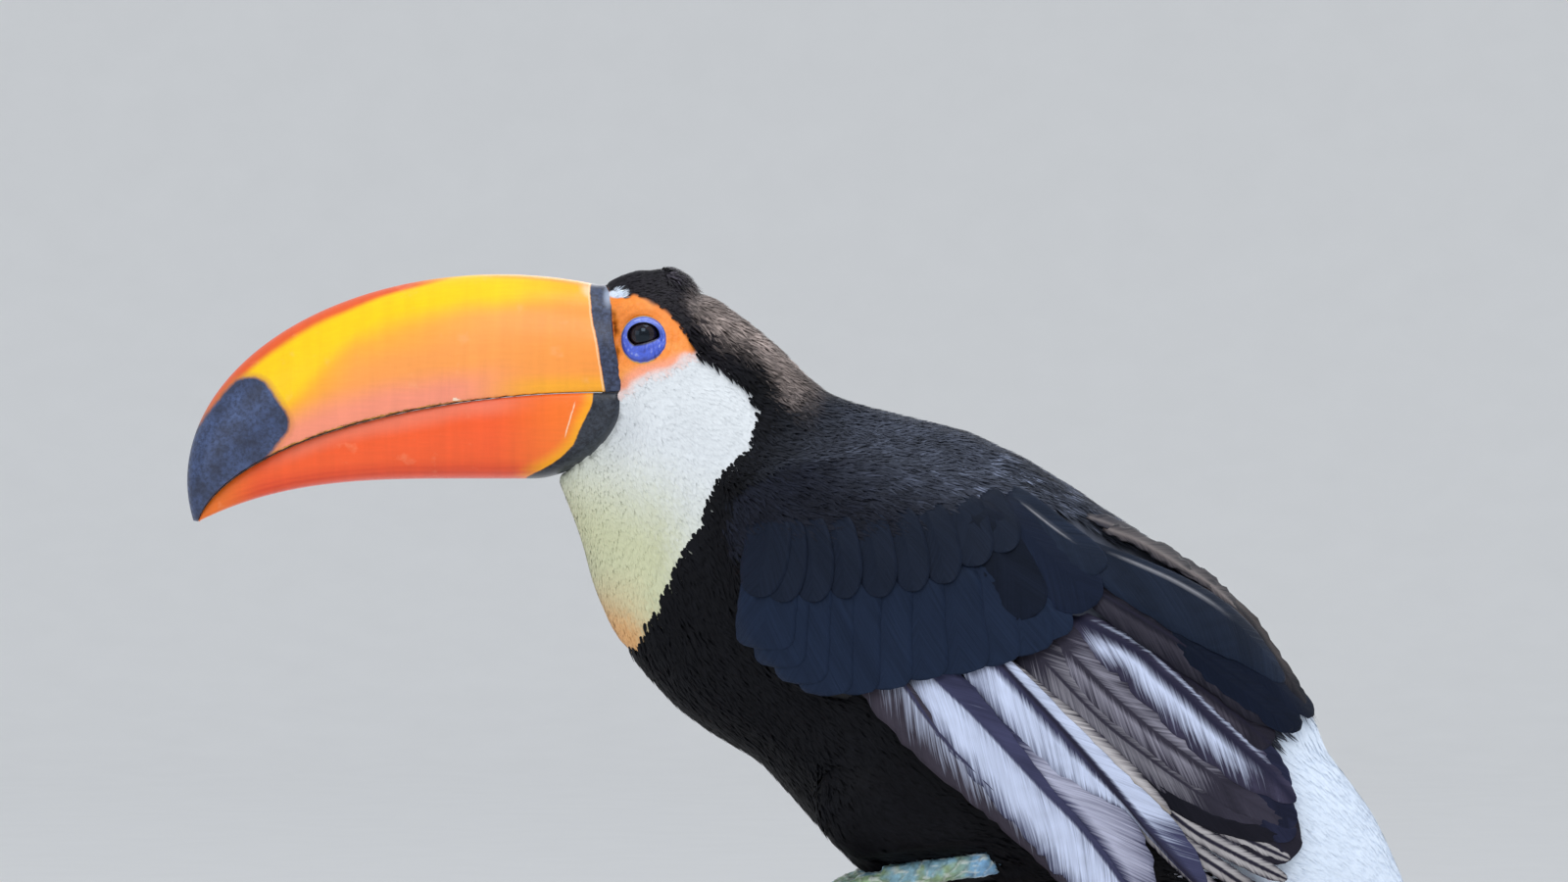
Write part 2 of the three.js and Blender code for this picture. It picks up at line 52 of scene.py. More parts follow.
# ---- driving dimensions, as in the CAD source ----
# Sections of the body, each from the back line to the belly line, as (x, z).
BACK = np.array([
    (-118, 388.5), (-108, 393.5), (-92, 395), (-80, 386.2), (-56, 369), (-34.5, 349), (-12.5, 342),
    (18, 334.5), (50.5, 318), (83, 296), (111.5, 276.5), (133, 250.5), (146, 227.5), (165.5, 197),
    (178, 169.5), (187, 144), (192, 121.5),
])
BELLY = np.array([
    (-133, 319), (-129, 309.5), (-123.5, 294.5), (-118.5, 276.5), (-110.5, 259.5), (-99, 243.5), (-84, 228),
    (-59.5, 213.5), (-38, 189.5), (-19, 171), (18, 165), (57.5, 162), (93.5, 162), (122.5, 158.5),
    (142.5, 147), (158.5, 126.5), (176, 114.5),
])
CULMEN = {"x": -154.8, "z": 317.0, "a": 114.8, "b": 75.6, "from": 72.0, "to": 191.3}
MOUTH = {
    "x": -118.8, "z": 297.2, "a": 147.6, "b": 52.2, "power": 1.9, "back": -110.2, "tip": -265.6, "pace": 1.93,
}
GONYS = {
    "z": 317.6, "from": -165.6, "to": -266.0, "drop": 16.0, "power": 3.2, "lobe_x": -142.2, "lobe_z": 344.0,
}
LOBE_POWER = 1.75
BILL_HALF_WIDTH = 21.5
BILL_TIP_SHARE = 0.1
BILL_BACK = -109.4
EYE = {"x": -102.4, "z": 370.4, "radius": 7.0, "y": 17.4}
LID_CENTRE = (-101.5, 368.2)
LID_OUTER = (8.5, 8.9)
PERCH = {"x": -20.0, "z": 150.0, "radius": 15.0, "length": 168.0}
LEG_Y = 23.0
SHANK = {"heel": (33.5, 178.6), "foot": (-14.0, 172.3)}
TAIL = {"base": (161, 168), "bend": (187, 112), "tip": (213, 45), "half_width": (14, 26), "arch": 5.0}

# Markings in side view, the same on both sides, as (x, z) corners of closed smooth outlines.
ORBIT = [
    (-120, 385.5), (-113.5, 385), (-108, 385), (-101, 383), (-93.5, 378), (-87.5, 371.5), (-83, 364.5),
    (-87, 363.4), (-90, 360.8), (-93.5, 358.5), (-101, 356.6), (-106, 353.8), (-109, 351), (-118, 350.6),
]
BIB = [
    (-82.7, 364.2), (-76.5, 360.6), (-71.8, 357.4), (-67.8, 354.4), (-65, 351), (-63.3, 347), (-62.3, 342),
    (-63.2, 337), (-64, 332.4), (-66.4, 329), (-69.4, 326), (-74, 320.8), (-77.8, 315.6), (-82, 306),
    (-85, 299), (-89, 292), (-93.5, 283), (-97, 275.5), (-99.3, 270), (-102, 265), (-104.5, 260),
    (-109, 256), (-122.5, 250),
    (-145, 306), (-145, 320.5), (-125, 350.5), (-109, 351), (-106, 353.8), (-101, 356.6), (-93.5, 358.5),
    (-90, 360.8), (-87, 363.4),
]


# ---- numbers ----
FIRST_SEED = 8500


def random_numbers(seed):
    return np.random.default_rng(FIRST_SEED + seed)


def mix(a, b, t):
    return a + (b - a) * t


def ramp(value, low, high):
    """0 under low, 1 over high, smooth between them."""
    t = np.clip((value - low) / (high - low), 0, 1)
    return t * t * (3 - 2 * t)


def noise(points, scale, seed=0):
    """Smooth noise from -1 to 1 at points, an (n, 3) array, with features of about scale."""
    q = np.asarray(points, float) / scale + 1000.0
    cell = np.floor(q).astype(np.int64)
    part = q - cell
    part = part * part * (3 - 2 * part)
    total = np.zeros(len(q))
    for corner in np.ndindex(2, 2, 2):
        c = cell + np.array(corner)
        key = (c[:, 0] * 73856093) ^ (c[:, 1] * 19349663) ^ (c[:, 2] * 83492791) ^ (seed * 2654435761)
        key = ((key & 0xFFFFFFFF) * 1274126177) & 0xFFFFFFFF
        key = (key ^ (key >> 15)) & 0xFFFF
        weight = np.prod(np.where(np.array(corner) == 1, part, 1 - part), axis=1)
        total += weight * (key / 32767.5 - 1)
    return total


def fine_noise(points):
    """The noise that frays the edges of the markings."""
    return noise(points, 3.0, 11)


def broad_noise(points):
    """The noise that makes the markings uneven on a larger scale."""
    return noise(points, 16.0, 12)


def bump_at(value, centre, width):
    """1 at centre, and falling to nothing beside it in a bell of this width."""
    return np.exp(-(((value - centre) / width) ** 2))


def unit(vectors):
    return vectors / np.maximum(np.linalg.norm(vectors, axis=-1, keepdims=True), 1e-9)


def smooth_line(points, count, closed=False):
    """count points along a smooth curve through the given ones."""
    p = np.asarray(points, float)
    n = len(p)
    steps = np.linspace(0, n if closed else n - 1, count, endpoint=not closed)
    i = np.minimum(steps.astype(int), n - 1 if closed else n - 2)
    t = (steps - i)[:, None]

    def at(k):
        return p[k % n] if closed else p[np.clip(k, 0, n - 1)]

    a, b, c, d = at(i - 1), at(i), at(i + 1), at(i + 2)
    return 0.5 * (2 * b + (c - a) * t + (2 * a - 5 * b + 4 * c - d) * t**2 + (3 * b - a - 3 * c + d) * t**3)


def run_along(line):
    """How far along a line each of its points lies."""
    return np.concatenate([[0], np.cumsum(np.linalg.norm(np.diff(line, axis=0), axis=1))])


def signed_distance(x, z, outline):
    """Distance of side-view points from a closed outline, below 0 inside it."""
    line = smooth_line(outline, 6 * len(outline), closed=True)
    start, end = line, np.roll(line, -1, axis=0)
    nearest = np.full(x.shape, 1e9)
    inside = np.zeros(x.shape, bool)
    for (ax, az), (bx, bz) in zip(start, end):
        length = max((bx - ax) ** 2 + (bz - az) ** 2, 1e-9)
        t = np.clip(((x - ax) * (bx - ax) + (z - az) * (bz - az)) / length, 0, 1)
        nearest = np.minimum(nearest, np.hypot(x - ax - t * (bx - ax), z - az - t * (bz - az)))
        if az != bz:
            crosses = ((az > z) != (bz > z)) & (x < (bx - ax) * (z - az) / (bz - az) + ax)
            inside ^= crosses
    return np.where(inside, -nearest, nearest)


def distance_from(outline, points):
    """The same for (n, 3) points."""
    return signed_distance(points[:, 0], points[:, 2], outline)


def oval(points, centre, half):
    """How far points lie from a side-view place, as a share of an oval's two half widths."""
    return np.hypot((points[:, 0] - centre[0]) / half[0], (points[:, 2] - centre[1]) / half[1])


def srgb(red, green, blue):
    """The linear colour of a display colour in 0 to 255."""
    c = np.array((red, green, blue), float) / 255
    return np.where(c <= 0.04045, c / 12.92, ((c + 0.055) / 1.055) ** 2.4)


def blend_colours(base, over, share):
    return base + (over - base) * np.asarray(share)[..., None]


# ---- meshes ----
def make_mesh(name, vertices, faces, body="root"):
    """A new smooth object from millimetre vertices and (n, 3) or (n, 4) faces, riding on a body."""
    mesh = bpy.data.meshes.new(name)
    faces = np.asarray(faces, np.int32)
    width = faces.shape[1]
    mesh.vertices.add(len(vertices))
    mesh.vertices.foreach_set("co", (np.asarray(vertices, float) * MM).astype(np.float32).ravel())
    mesh.loops.add(faces.size)
    mesh.loops.foreach_set("vertex_index", faces.ravel())
    mesh.polygons.add(len(faces))
    mesh.polygons.foreach_set("loop_start", np.arange(0, faces.size, width, dtype=np.int32))
    mesh.update(calc_edges=True)
    mesh.validate()
    mesh.polygons.foreach_set("use_smooth", np.ones(len(mesh.polygons), bool))
    made = bpy.data.objects.new(name, mesh)
    bpy.context.scene.collection.objects.link(made)
    if body:
        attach(made, body)
    return made


def mesh_arrays(mesh, corners):
    """The vertices in millimetres and the faces, which all have this number of corners, of a mesh."""
    vertices = np.zeros(len(mesh.vertices) * 3, np.float32)
    mesh.vertices.foreach_get("co", vertices)
    faces = np.zeros(len(mesh.polygons) * corners, np.int32)
    mesh.polygons.foreach_get("vertices", faces)
    return vertices.reshape(-1, 3).astype(float) / MM, faces.reshape(-1, corners)


def set_numbers(piece, name, values):
    layer = piece.data.attributes.new(name, "FLOAT", "POINT")
    layer.data.foreach_set("value", np.asarray(values, np.float32).ravel())


def set_colours(piece, colours, name="Col"):
    """A colour attribute, one linear colour for each vertex."""
    layer = piece.data.color_attributes.new(name, "FLOAT_COLOR", "POINT")
    full = np.ones((len(colours), 4), np.float32)
    full[:, :3] = np.clip(colours, 0, 1)
    layer.data.foreach_set("color", full.ravel())


def grid_faces(rows, columns, wrap):
    """Quads of a grid of points, rows by columns, with the columns joined into a ring if wrap is set."""
    i = np.arange(rows - 1)[:, None]
    j = np.arange(columns if wrap else columns - 1)[None, :]
    k = (j + 1) % columns
    this_row, next_row = i * columns, (i + 1) * columns
    return np.stack([this_row + j, this_row + k, next_row + k, next_row + j], -1).reshape(-1, 4)


def triangles(quads):
    return np.concatenate([quads[:, [0, 1, 2]], quads[:, [0, 2, 3]]])


def tube_mesh(rings):
    """Vertices and triangles of a closed tube through rings, an (n, m, 3) array, with both ends capped."""
    n, m = rings.shape[:2]
    vertices = np.concatenate([rings.reshape(-1, 3), rings[0].mean(0)[None], rings[-1].mean(0)[None]])
    j = np.arange(m)
    k = (j + 1) % m
    first = np.stack([k, j, np.full(m, n * m)], -1)
    last = np.stack([(n - 1) * m + j, (n - 1) * m + k, np.full(m, n * m + 1)], -1)
    return vertices, np.concatenate([triangles(grid_faces(n, m, True)), first, last])


def joined(parts):
    """Vertices and faces of several (vertices, faces) as one."""
    start, vertices, faces = 0, [], []
    for v, f in parts:
        vertices.append(v)
        faces.append(f + start)
        start += len(v)
    return np.concatenate(vertices), np.concatenate(faces)


def outward(vertices, triangle_faces):
    """The triangles of closed solids, turned over if they face inwards."""
    a, b, c = (vertices[triangle_faces[:, k]] for k in (0, 1, 2))
    volume = np.sum(a * np.cross(b, c))
    return triangle_faces if volume > 0 else triangle_faces[:, ::-1]


def vertex_normals(vertices, faces):
    total = np.zeros_like(vertices)
    a, b = vertices[faces[:, 2]] - vertices[faces[:, 0]], vertices[faces[:, -1]] - vertices[faces[:, 1]]
    each = np.cross(a, b)
    for k in range(faces.shape[1]):
        np.add.at(total, faces[:, k], each)
    return unit(total)


def smoothed(vertices, faces, rounds):
    """The vertices after rounds of moving each halfway to the mean of its neighbours."""
    pairs = np.concatenate([faces[:, [k, (k + 1) % faces.shape[1]]] for k in range(faces.shape[1])])
    count = np.bincount(pairs.ravel(), minlength=len(vertices))
    for _ in range(rounds):
        total = np.zeros_like(vertices)
        for axis in range(3):
            total[:, axis] = np.bincount(pairs[:, 0], vertices[pairs[:, 1], axis], len(vertices))
            total[:, axis] += np.bincount(pairs[:, 1], vertices[pairs[:, 0], axis], len(vertices))
        vertices = mix(vertices, total / np.maximum(count, 1)[:, None], 0.5)
    return vertices


# ---- materials ----
def new_material(name, roughness, **sockets):
    """A node material and its tree and shader. The named sockets are set to their numbers or colours."""
    made = bpy.data.materials.new(name)
    made.use_nodes = True
    shader = made.node_tree.nodes["Principled BSDF"]
    shader.inputs["Roughness"].default_value = roughness
    for key, value in sockets.items():
        shader.inputs[key.replace("_", " ")].default_value = value
    return made, made.node_tree, shader


def add_node(tree, kind, inputs=None, **settings):
    """A node whose inputs, by name or number, are linked to sockets or set to values."""
    node = tree.nodes.new("ShaderNode" + kind)
    for key, value in settings.items():
        setattr(node, key, value)
    for key, value in (inputs or {}).items():
        if isinstance(value, bpy.types.NodeSocket):
            tree.links.new(value, node.inputs[key])
        else:
            node.inputs[key].default_value = value
    return node


def number_of(tree, name):
    return add_node(tree, "Attribute", attribute_name=name).outputs["Fac"]


def painted(tree, name="Col"):
    return add_node(tree, "Attribute", attribute_name=name).outputs["Color"]


def place_on(tree, scale=(1, 1, 1), turn=(0, 0, 0)):
    """Object coordinates, scaled and turned."""
    where = add_node(tree, "TexCoord").outputs["Object"]
    return add_node(tree, "Mapping", {"Vector": where, "Scale": scale, "Rotation": turn}).outputs["Vector"]


def noise_on(tree, where, scale, detail=3.0, roughness=0.55):
    return add_node(
        tree, "TexNoise", {"Vector": where, "Scale": scale, "Detail": detail, "Roughness": roughness}
    ).outputs["Fac"]


def stretch(tree, value, low, high, new_low=0.0, new_high=1.0):
    """A socket's value mapped from low..high to new_low..new_high, and kept there."""
    inputs = {"Value": value, "From Min": low, "From Max": high, "To Min": new_low, "To Max": new_high}
    return add_node(tree, "MapRange", inputs).outputs["Result"]


def math_node(tree, operation, a, b):
    return add_node(tree, "Math", {0: a, 1: b}, operation=operation).outputs[0]


def spread(tree, grain, least, most):
    """A noise mapped so that nearly all of it fills least..most."""
    return stretch(tree, grain, 0.3, 0.7, least, most)


def shaded(tree, colour, *grains):
    """A colour made darker and lighter by noises, each given with its least and its greatest factor."""
    factors = [spread(tree, *grain) for grain in grains]
    shade = factors[0] if len(factors) == 1 else math_node(tree, "MULTIPLY", *factors)
    return add_node(tree, "VectorMath", {0: colour, 3: shade}, operation="SCALE").outputs[0]


def set_base(tree, shader, colour):
    tree.links.new(colour, shader.inputs["Base Color"])


def mixed(tree, share, a, b):
    """The colour a where share is 0 and b where it is 1. Each is a socket or a linear colour."""
    node = add_node(tree, "Mix", data_type="RGBA")
    for index, value in ((0, share), (6, a), (7, b)):
        if isinstance(value, bpy.types.NodeSocket):
            tree.links.new(value, node.inputs[index])
        elif index:
            node.inputs[index].default_value = (*value, 1)
        else:
            node.inputs[index].default_value = value
    return node.outputs[2]


def bump(tree, shader, height, distance, strength=1.0):
    inputs = {"Height": height, "Distance": distance * MM, "Strength": strength}
    tree.links.new(add_node(tree, "Bump", inputs).outputs["Normal"], shader.inputs["Normal"])


def wear(piece, material):
    piece.data.materials.append(material)
    return piece


# ---- the body's own coordinates ----
SECTION_COUNT = len(BACK)
MAP_LOW, MAP_STEP = np.array((-160.0, 90.0)), 2.0
MAP_SIZE = (200, 165)


def at_section(number, values):
    """Values or rows of values, one for each section, between the sections that number lies between."""
    whole = np.arange(SECTION_COUNT)
    if values.ndim == 1:
        return np.interp(number, whole, values)
    return np.stack([np.interp(number, whole, column) for column in values.T], -1)


def section_map():
    """For a grid of side-view places, the section number and how far down it they lie, 0 back and 1 belly."""
    numbers = np.linspace(0, SECTION_COUNT - 1, 20 * SECTION_COUNT)
    downs = np.linspace(-0.15, 1.15, 40)
    tree = KDTree(len(numbers) * len(downs))
    spots = []
    for number, back, belly in zip(numbers, at_section(numbers, BACK), at_section(numbers, BELLY)):
        for down in downs:
            x, z = mix(back, belly, down)
            tree.insert((x, 0, z), len(spots))
            spots.append((number, down))
    tree.balance()
    spots = np.array(spots)
    found = np.zeros((*MAP_SIZE, 2))
    for i in range(MAP_SIZE[0]):
        for j in range(MAP_SIZE[1]):
            x, z = MAP_LOW + MAP_STEP * np.array((i, j))
            found[i, j] = spots[tree.find((x, 0, z))[1]]
    return found


SECTION_MAP = section_map()


def map_value(values, low, step, places):
    """The rows of values of a grid over the side view, between its places, at (x, z) places."""
    q = np.clip((places - low) / step, 0, np.array(values.shape[:2]) - 1.001)
    i = q.astype(int)
    f = q - i
    total = 0
    for a in (0, 1):
        for b in (0, 1):
            weight = np.where(a, f[..., 0], 1 - f[..., 0]) * np.where(b, f[..., 1], 1 - f[..., 1])
            total = total + weight[..., None] * values[i[..., 0] + a, i[..., 1] + b]
    return total


def body_place(points):
    """The section number and the share of its height, from the back down, of each point."""
    found = map_value(SECTION_MAP, MAP_LOW, MAP_STEP, points[:, [0, 2]])
    return found[:, 0], found[:, 1]


BACK_RUN = np.gradient(BACK, axis=0)
BELLY_RUN = np.gradient(BELLY, axis=0)
SECTION_TALL = np.linalg.norm(BACK - BELLY, axis=1)


def lie(points, normals):
    """The way the coat lies at each point: backwards along the body, flat on its surface."""
    number, down = body_place(points)
    back, belly = at_section(number, BACK_RUN), at_section(number, BELLY_RUN)
    flat = unit(mix(unit(back), unit(belly), np.clip(down, 0, 1)[:, None]))
    way = np.stack([flat[:, 0], np.zeros(len(points)), flat[:, 1]], -1)
    way -= normals * np.sum(way * normals, 1)[:, None]
    return unit(way)


# ---- the bill's shape ----
def mouth_z(x):
    share = np.clip((MOUTH["x"] - x) / MOUTH["a"], 0, 1)
    return MOUTH["z"] + MOUTH["b"] * (1 - share ** MOUTH["power"]) ** (1 / MOUTH["power"])


def gonys_z(x):
    lobe = np.clip((x - GONYS["lobe_x"]) / (BILL_BACK - GONYS["lobe_x"]), 0, 1)
    round_up = GONYS["lobe_z"] - (GONYS["lobe_z"] - GONYS["z"]) * (1 - lobe**LOBE_POWER) ** (1 / LOBE_POWER)
    share = np.clip((GONYS["from"] - x) / (GONYS["from"] - GONYS["to"]), 0, 1)
    return np.where(x > GONYS["lobe_x"], round_up, GONYS["z"] - GONYS["drop"] * share ** GONYS["power"])


def bill_half(t):
    return BILL_HALF_WIDTH * mix(BILL_TIP_SHARE, 1, (1 - np.clip(t, 0, 1) ** 1.5) ** 0.75)


BILL_STEPS, BILL_ROUND = 170, 112
BILL_LEAST = 0.8  # the least height of either half of the bill
MOUTH_FLAT = -0.35  # the cosine under which a section lies flat at the mouth


def bill_ring(full):
    """Share of the height over the mouth and of the half width, round a section that is flat at the mouth."""
    angle = np.linspace(0, 2 * np.pi, BILL_ROUND, endpoint=False)[None, :]
    up, side = np.cos(angle), np.sin(angle)
    height = np.where(up > MOUTH_FLAT, (up - MOUTH_FLAT) / (1 - MOUTH_FLAT), 0)
    width = np.where(up > MOUTH_FLAT, np.sign(side) * np.abs(side) ** full, side)
    return height, width


REAR_RINGS = 8
# How far the rear edge's flange reaches back, in millimetres, at shares of the height over the mouth.
REAR_EDGE = (
    (0.0, 0.15, 0.3, 0.45, 0.6, 0.72, 0.82, 0.92, 1.0),
    (0.6, 1.5, 1.8, 1.9, 2.4, 3.3, 4.2, 4.3, 3.2),
)


def upper_bill_rings():
    """The upper bill from rear to tip, its first rings drawn back over the face as a low flange."""
    ring = np.arange(BILL_STEPS)
    back = np.clip(1 - ring / REAR_RINGS, 0, 1)[:, None]
    t = np.clip((ring - REAR_RINGS) / (BILL_STEPS - REAR_RINGS - 1), 0, 1)[:, None]
    turn = np.radians(mix(CULMEN["from"], CULMEN["to"], t))
    ridge_x = CULMEN["x"] + CULMEN["a"] * np.cos(turn)
    ridge = np.concatenate([ridge_x, CULMEN["z"] + CULMEN["b"] * np.sin(turn)], 1)
    mouth_x = MOUTH["tip"] + (MOUTH["back"] - MOUTH["tip"]) * (1 - t) ** MOUTH["pace"]
    mouth = np.concatenate([mouth_x, mouth_z(mouth_x)], 1)
    up = ridge - mouth
    tall = np.maximum(np.linalg.norm(up, axis=1, keepdims=True), BILL_LEAST)
    height, width = bill_ring(0.92)
    lift = height * tall
    up = unit(up)
    half = bill_half(t)
    edge = np.exp(-((height / 0.05) ** 2)) * np.abs(width) ** 6
    worn = saw_edge(mouth_x) * edge * ramp(tall, 6, 20)
    x = mouth[:, :1] + up[:, :1] * (lift + worn)
    z = mouth[:, 1:] + up[:, 1:] * (lift + worn)
    x = x + back * np.interp(height, *REAR_EDGE)
    y = half * width * (1 - 0.02 * back)
    return np.stack([x, y, z], -1)


def saw_edge(x):
    """The uneven notches of the upper bill's cutting edge, in millimetres, at each x."""
    run = x.ravel()
    places = np.stack([run, 0 * run, 0 * run], -1)
    tooth = (run / 5.2 + 0.35 * noise(places, 9, 3)) % 1.0
    strength = ramp(run, -262, -240) * (1 - ramp(run, -150, -125))
    uneven = 0.6 + 0.6 * np.abs(noise(places, 14, 5))
    return ((tooth**1.6 - 0.4) * 0.75 * strength * uneven).reshape(x.shape)


def lower_bill_rings():
    """The lower bill from its rear edge to its tip, with a narrow slit under the upper one."""
    t = np.linspace(0, 1, BILL_STEPS)[:, None]
    x = mix(BILL_BACK - 0.6, MOUTH["tip"] + 0.4, t**0.9)
    top = mouth_z(np.minimum(x, MOUTH["back"])) - 0.45
    tall = np.maximum(top - gonys_z(x), BILL_LEAST)
    height, width = bill_ring(0.66)
    share = (BILL_BACK - x) / (BILL_BACK - MOUTH["tip"])
    half = 0.97 * bill_half(share) * np.clip((BILL_BACK - x) / 8 + 0.86, 0, 1)
    return np.stack([x + 0 * width, half * width, top - height * tall], -1)


# ---- the outer guide and the skin ----
def node_solid(names, grow):
    """One mesh of several CAD nodes, each grown by grow along its normals so that neighbours touch."""
    whole = bmesh.new()
    for name in names:
        part = bmesh.new()
        part.from_mesh(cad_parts[name].data)
        bmesh.ops.remove_doubles(part, verts=part.verts, dist=1e-6)
        part.normal_update()
        for vertex in part.verts:
            vertex.co += vertex.normal * grow * MM
        step = bpy.data.meshes.new("step")
        part.to_mesh(step)
        part.free()
        whole.from_mesh(step)
        bpy.data.meshes.remove(step)
    return whole


def voxel_shell(names, voxel, grow=0.35):
    """Vertices and quads of the outer surface of CAD nodes as one smooth closed shell."""
    solid = node_solid(names, grow)
    mesh = bpy.data.meshes.new("shell")
    solid.to_mesh(mesh)
    solid.free()
    shell = bpy.data.objects.new("shell", mesh)
    bpy.context.scene.collection.objects.link(shell)
    remesh = shell.modifiers.new("remesh", "REMESH")
    remesh.mode = "VOXEL"
    remesh.voxel_size = voxel * MM
    done = shell.evaluated_get(bpy.context.evaluated_depsgraph_get()).to_mesh()
    vertices, faces = mesh_arrays(done, 4)
    bpy.data.objects.remove(shell)
    bpy.data.meshes.remove(mesh)
    return vertices, faces


def largest_shell(vertices, faces):
    """The connected shell with the most vertices, without the others."""
    label = np.arange(len(vertices))
    while True:
        low = label[faces].min(1)
        new = label.copy()
        for k in range(faces.shape[1]):
            np.minimum.at(new, faces[:, k], low)
        new = new[new]
        if (new == label).all():
            break
        label = new
    most = np.bincount(label).argmax()
    keep = label == most
    number = np.cumsum(keep) - 1
    return vertices[keep], number[faces[keep[faces[:, 0]]]]


def tree_of(vertices, faces):
    return BVHTree.FromPolygons([Vector(v) for v in vertices], faces.tolist())


COVERTS = ["wing_left_coverts", "wing_right_coverts"]
BODY = ["head", "neck", "trunk", "tail_coverts", "thigh_left", "thigh_right"]
FLESH = BODY + COVERTS
FLIGHT = ["wing_left_flight", "wing_right_flight"]


def coat_depth(points):
    """How far under the CAD surface the skin lies."""
    x, z = points[:, 0], points[:, 2]
    number, down = body_place(points)
    bare = 1 - ramp(signed_distance(x, z, ORBIT), -1.0, 3.0)
    white = 1 - ramp(signed_distance(x, z, BIB), -3.0, 1.0)
    depth = mix(mix(1.0, 1.9, ramp(number, 2.2, 5.0)), 0.8, white)
    hollows = bump_at(x, -99.0, 3.0) + 1.2 * bump_at(x, -80.5, 4.0)
    depth = depth + hollows * ramp(z, 378, 386)
    throat = ramp(down, 0.78, 0.97) * (1 - ramp(number, 3.5, 6.0)) * (1 - ramp(z, 316, 322))
    return mix(depth - 1.7 * throat, 0.25, bare)


FAR_OUT = 60.0  # farther out from the middle than any part of the head
BILL_MIDDLE = np.array((-150.0, 348.0))
RISE_BEHIND_BILL = 1.5  # how steeply the skin may rise behind the bill's edge


def half_width_at(tree, x, z, side):
    """How far out a tree's surface lies on one side at a side-view place, or None beside it."""
    hit = tree.ray_cast(Vector((x, side * FAR_OUT, z)), Vector((0, -side, 0)), FAR_OUT)[0]
    return None if hit is None else abs(hit[1])


def fit_to_bill(points, bill, reach):
    """Keeps the skin inside the bill where the bill covers it, and lets it rise behind the bill's edge."""
    near = np.flatnonzero((points[:, 0] < -98) & (points[:, 2] > 308) & (points[:, 2] < 392))
    fitted = points.copy()
    for i in near:
        x, y, z = points[i]
        side = -1 if y < 0 else 1
        way = BILL_MIDDLE - (x, z)
        way /= max(np.linalg.norm(way), 1e-6)
        for gone in np.arange(0, reach + 0.1, 0.5):
            half = half_width_at(bill, x + way[0] * gone, z + way[1] * gone, side)
            if half is not None:
                allowed = half + (-0.5 if gone == 0 else -0.35 + RISE_BEHIND_BILL * gone)
                fitted[i, 1] = side * min(abs(y), allowed)
                break
    return fitted


def kept_under(points, limit, where):
    """The points, with those named by where no farther out to either side than limit."""
    out = np.abs(points[:, 1])
    out = np.where(where & (out > 12), np.minimum(out, limit), out)
    return np.stack([points[:, 0], np.sign(points[:, 1]) * out, points[:, 2]], -1)


def sunk_under_eyes(points):
    """Keeps the skin under the eyeballs and under the inner part of their lids."""
    away = np.hypot(points[:, 0] - EYE["x"], points[:, 2] - EYE["z"])
    ball = EYE["y"] + np.maximum(np.sqrt(np.maximum(EYE["radius"] ** 2 - away**2, 0)) - 1.0, 0.3)
    lid = np.linalg.norm((points[:, [0, 2]] - LID_CENTRE) / LID_OUTER, axis=1)
    return kept_under(points, ball, (away < 6.9) | (lid < 0.8))


SHANK_SHOWN = np.array(((22.0, 177.6), (-14.0, 172.3)))


def beside_shank(points):
    """How far points lie in side view from the part of the shanks' axis that shows."""
    start, end = SHANK_SHOWN
    spots = points[:, [0, 2]]
    share = np.clip((spots - start) @ (end - start) / np.sum((end - start) ** 2), 0, 1)
    return np.linalg.norm(spots - start - share[:, None] * (end - start), axis=1)


def bared_shanks(points):
    """Keeps the belly behind the near half of each shank, in a shallow groove."""
    away = beside_shank(points)
    return kept_under(points, LEG_Y - 0.5 + 1.5 * np.maximum(away - 4.4, 0), away < 10.0)


def build_skin(bill):
    vertices, faces = largest_shell(*voxel_shell(FLESH, 1.5))
    vertices = smoothed(vertices, faces, 9)
    normals = vertex_normals(vertices, faces)
    vertices = vertices - normals * coat_depth(vertices)[:, None]
    vertices = smoothed(fit_to_bill(vertices, bill, 8.0), faces, 2)
    x, z = vertices[:, 0], vertices[:, 2]
    by_bill = ramp(-x, 92, 100) * ramp(z, 300, 308) * (1 - ramp(z, 386, 391))
    vertices[:, 1] = mix(vertices[:, 1], smoothed(vertices, faces, 40)[:, 1], by_bill)
    vertices = fit_to_bill(vertices, bill, 0.0)
    vertices[:, 1] = mix(vertices[:, 1], smoothed(vertices, faces, 2)[:, 1], by_bill)
    return bared_shanks(sunk_under_eyes(vertices)), faces


upper_shape = tube_mesh(upper_bill_rings())
lower_shape = tube_mesh(lower_bill_rings()[:, ::-1])
bill_tree = tree_of(*joined([upper_shape, lower_shape]))

skin_vertices, skin_faces = build_skin(bill_tree)
soft_normals = vertex_normals(smoothed(skin_vertices, skin_faces, 14), skin_faces)
FACE_NORMALS = unit(soft_normals[skin_faces].mean(1))
skin_tree = tree_of(skin_vertices, skin_faces)


# ---- markings ----
ORANGE_SKIN = srgb(248, 134, 34)
ORANGE_PALE = srgb(252, 168, 84)
PINK_SKIN = srgb(250, 160, 124)
BIB_WHITE = srgb(224, 229, 233)
BIB_CREAM = srgb(204, 207, 172)
BIB_PEACH = srgb(222, 166, 108)
CROWN_BLACK = srgb(25, 22, 29)
# a painted sheen, brown, where light falls on the top of the nape
NAPE_BROWN_SHEEN = srgb(146, 133, 128)
# black with a painted grey-blue sheen, where light falls on the back
BACK_BLACK_AND_SHEEN = srgb(64, 69, 82)
SHOULDER_BLACK = srgb(22, 25, 36)
BREAST_BLACK = srgb(12, 13, 18)
RUMP_WHITE = srgb(220, 232, 248)
VENT_RED = srgb(176, 26, 22)
GAPE = (-109.9, 349.4)  # the corner of the mouth
FLUFF = (-111.3, 385.2)  # the middle of the small white tuft behind the top of the bill


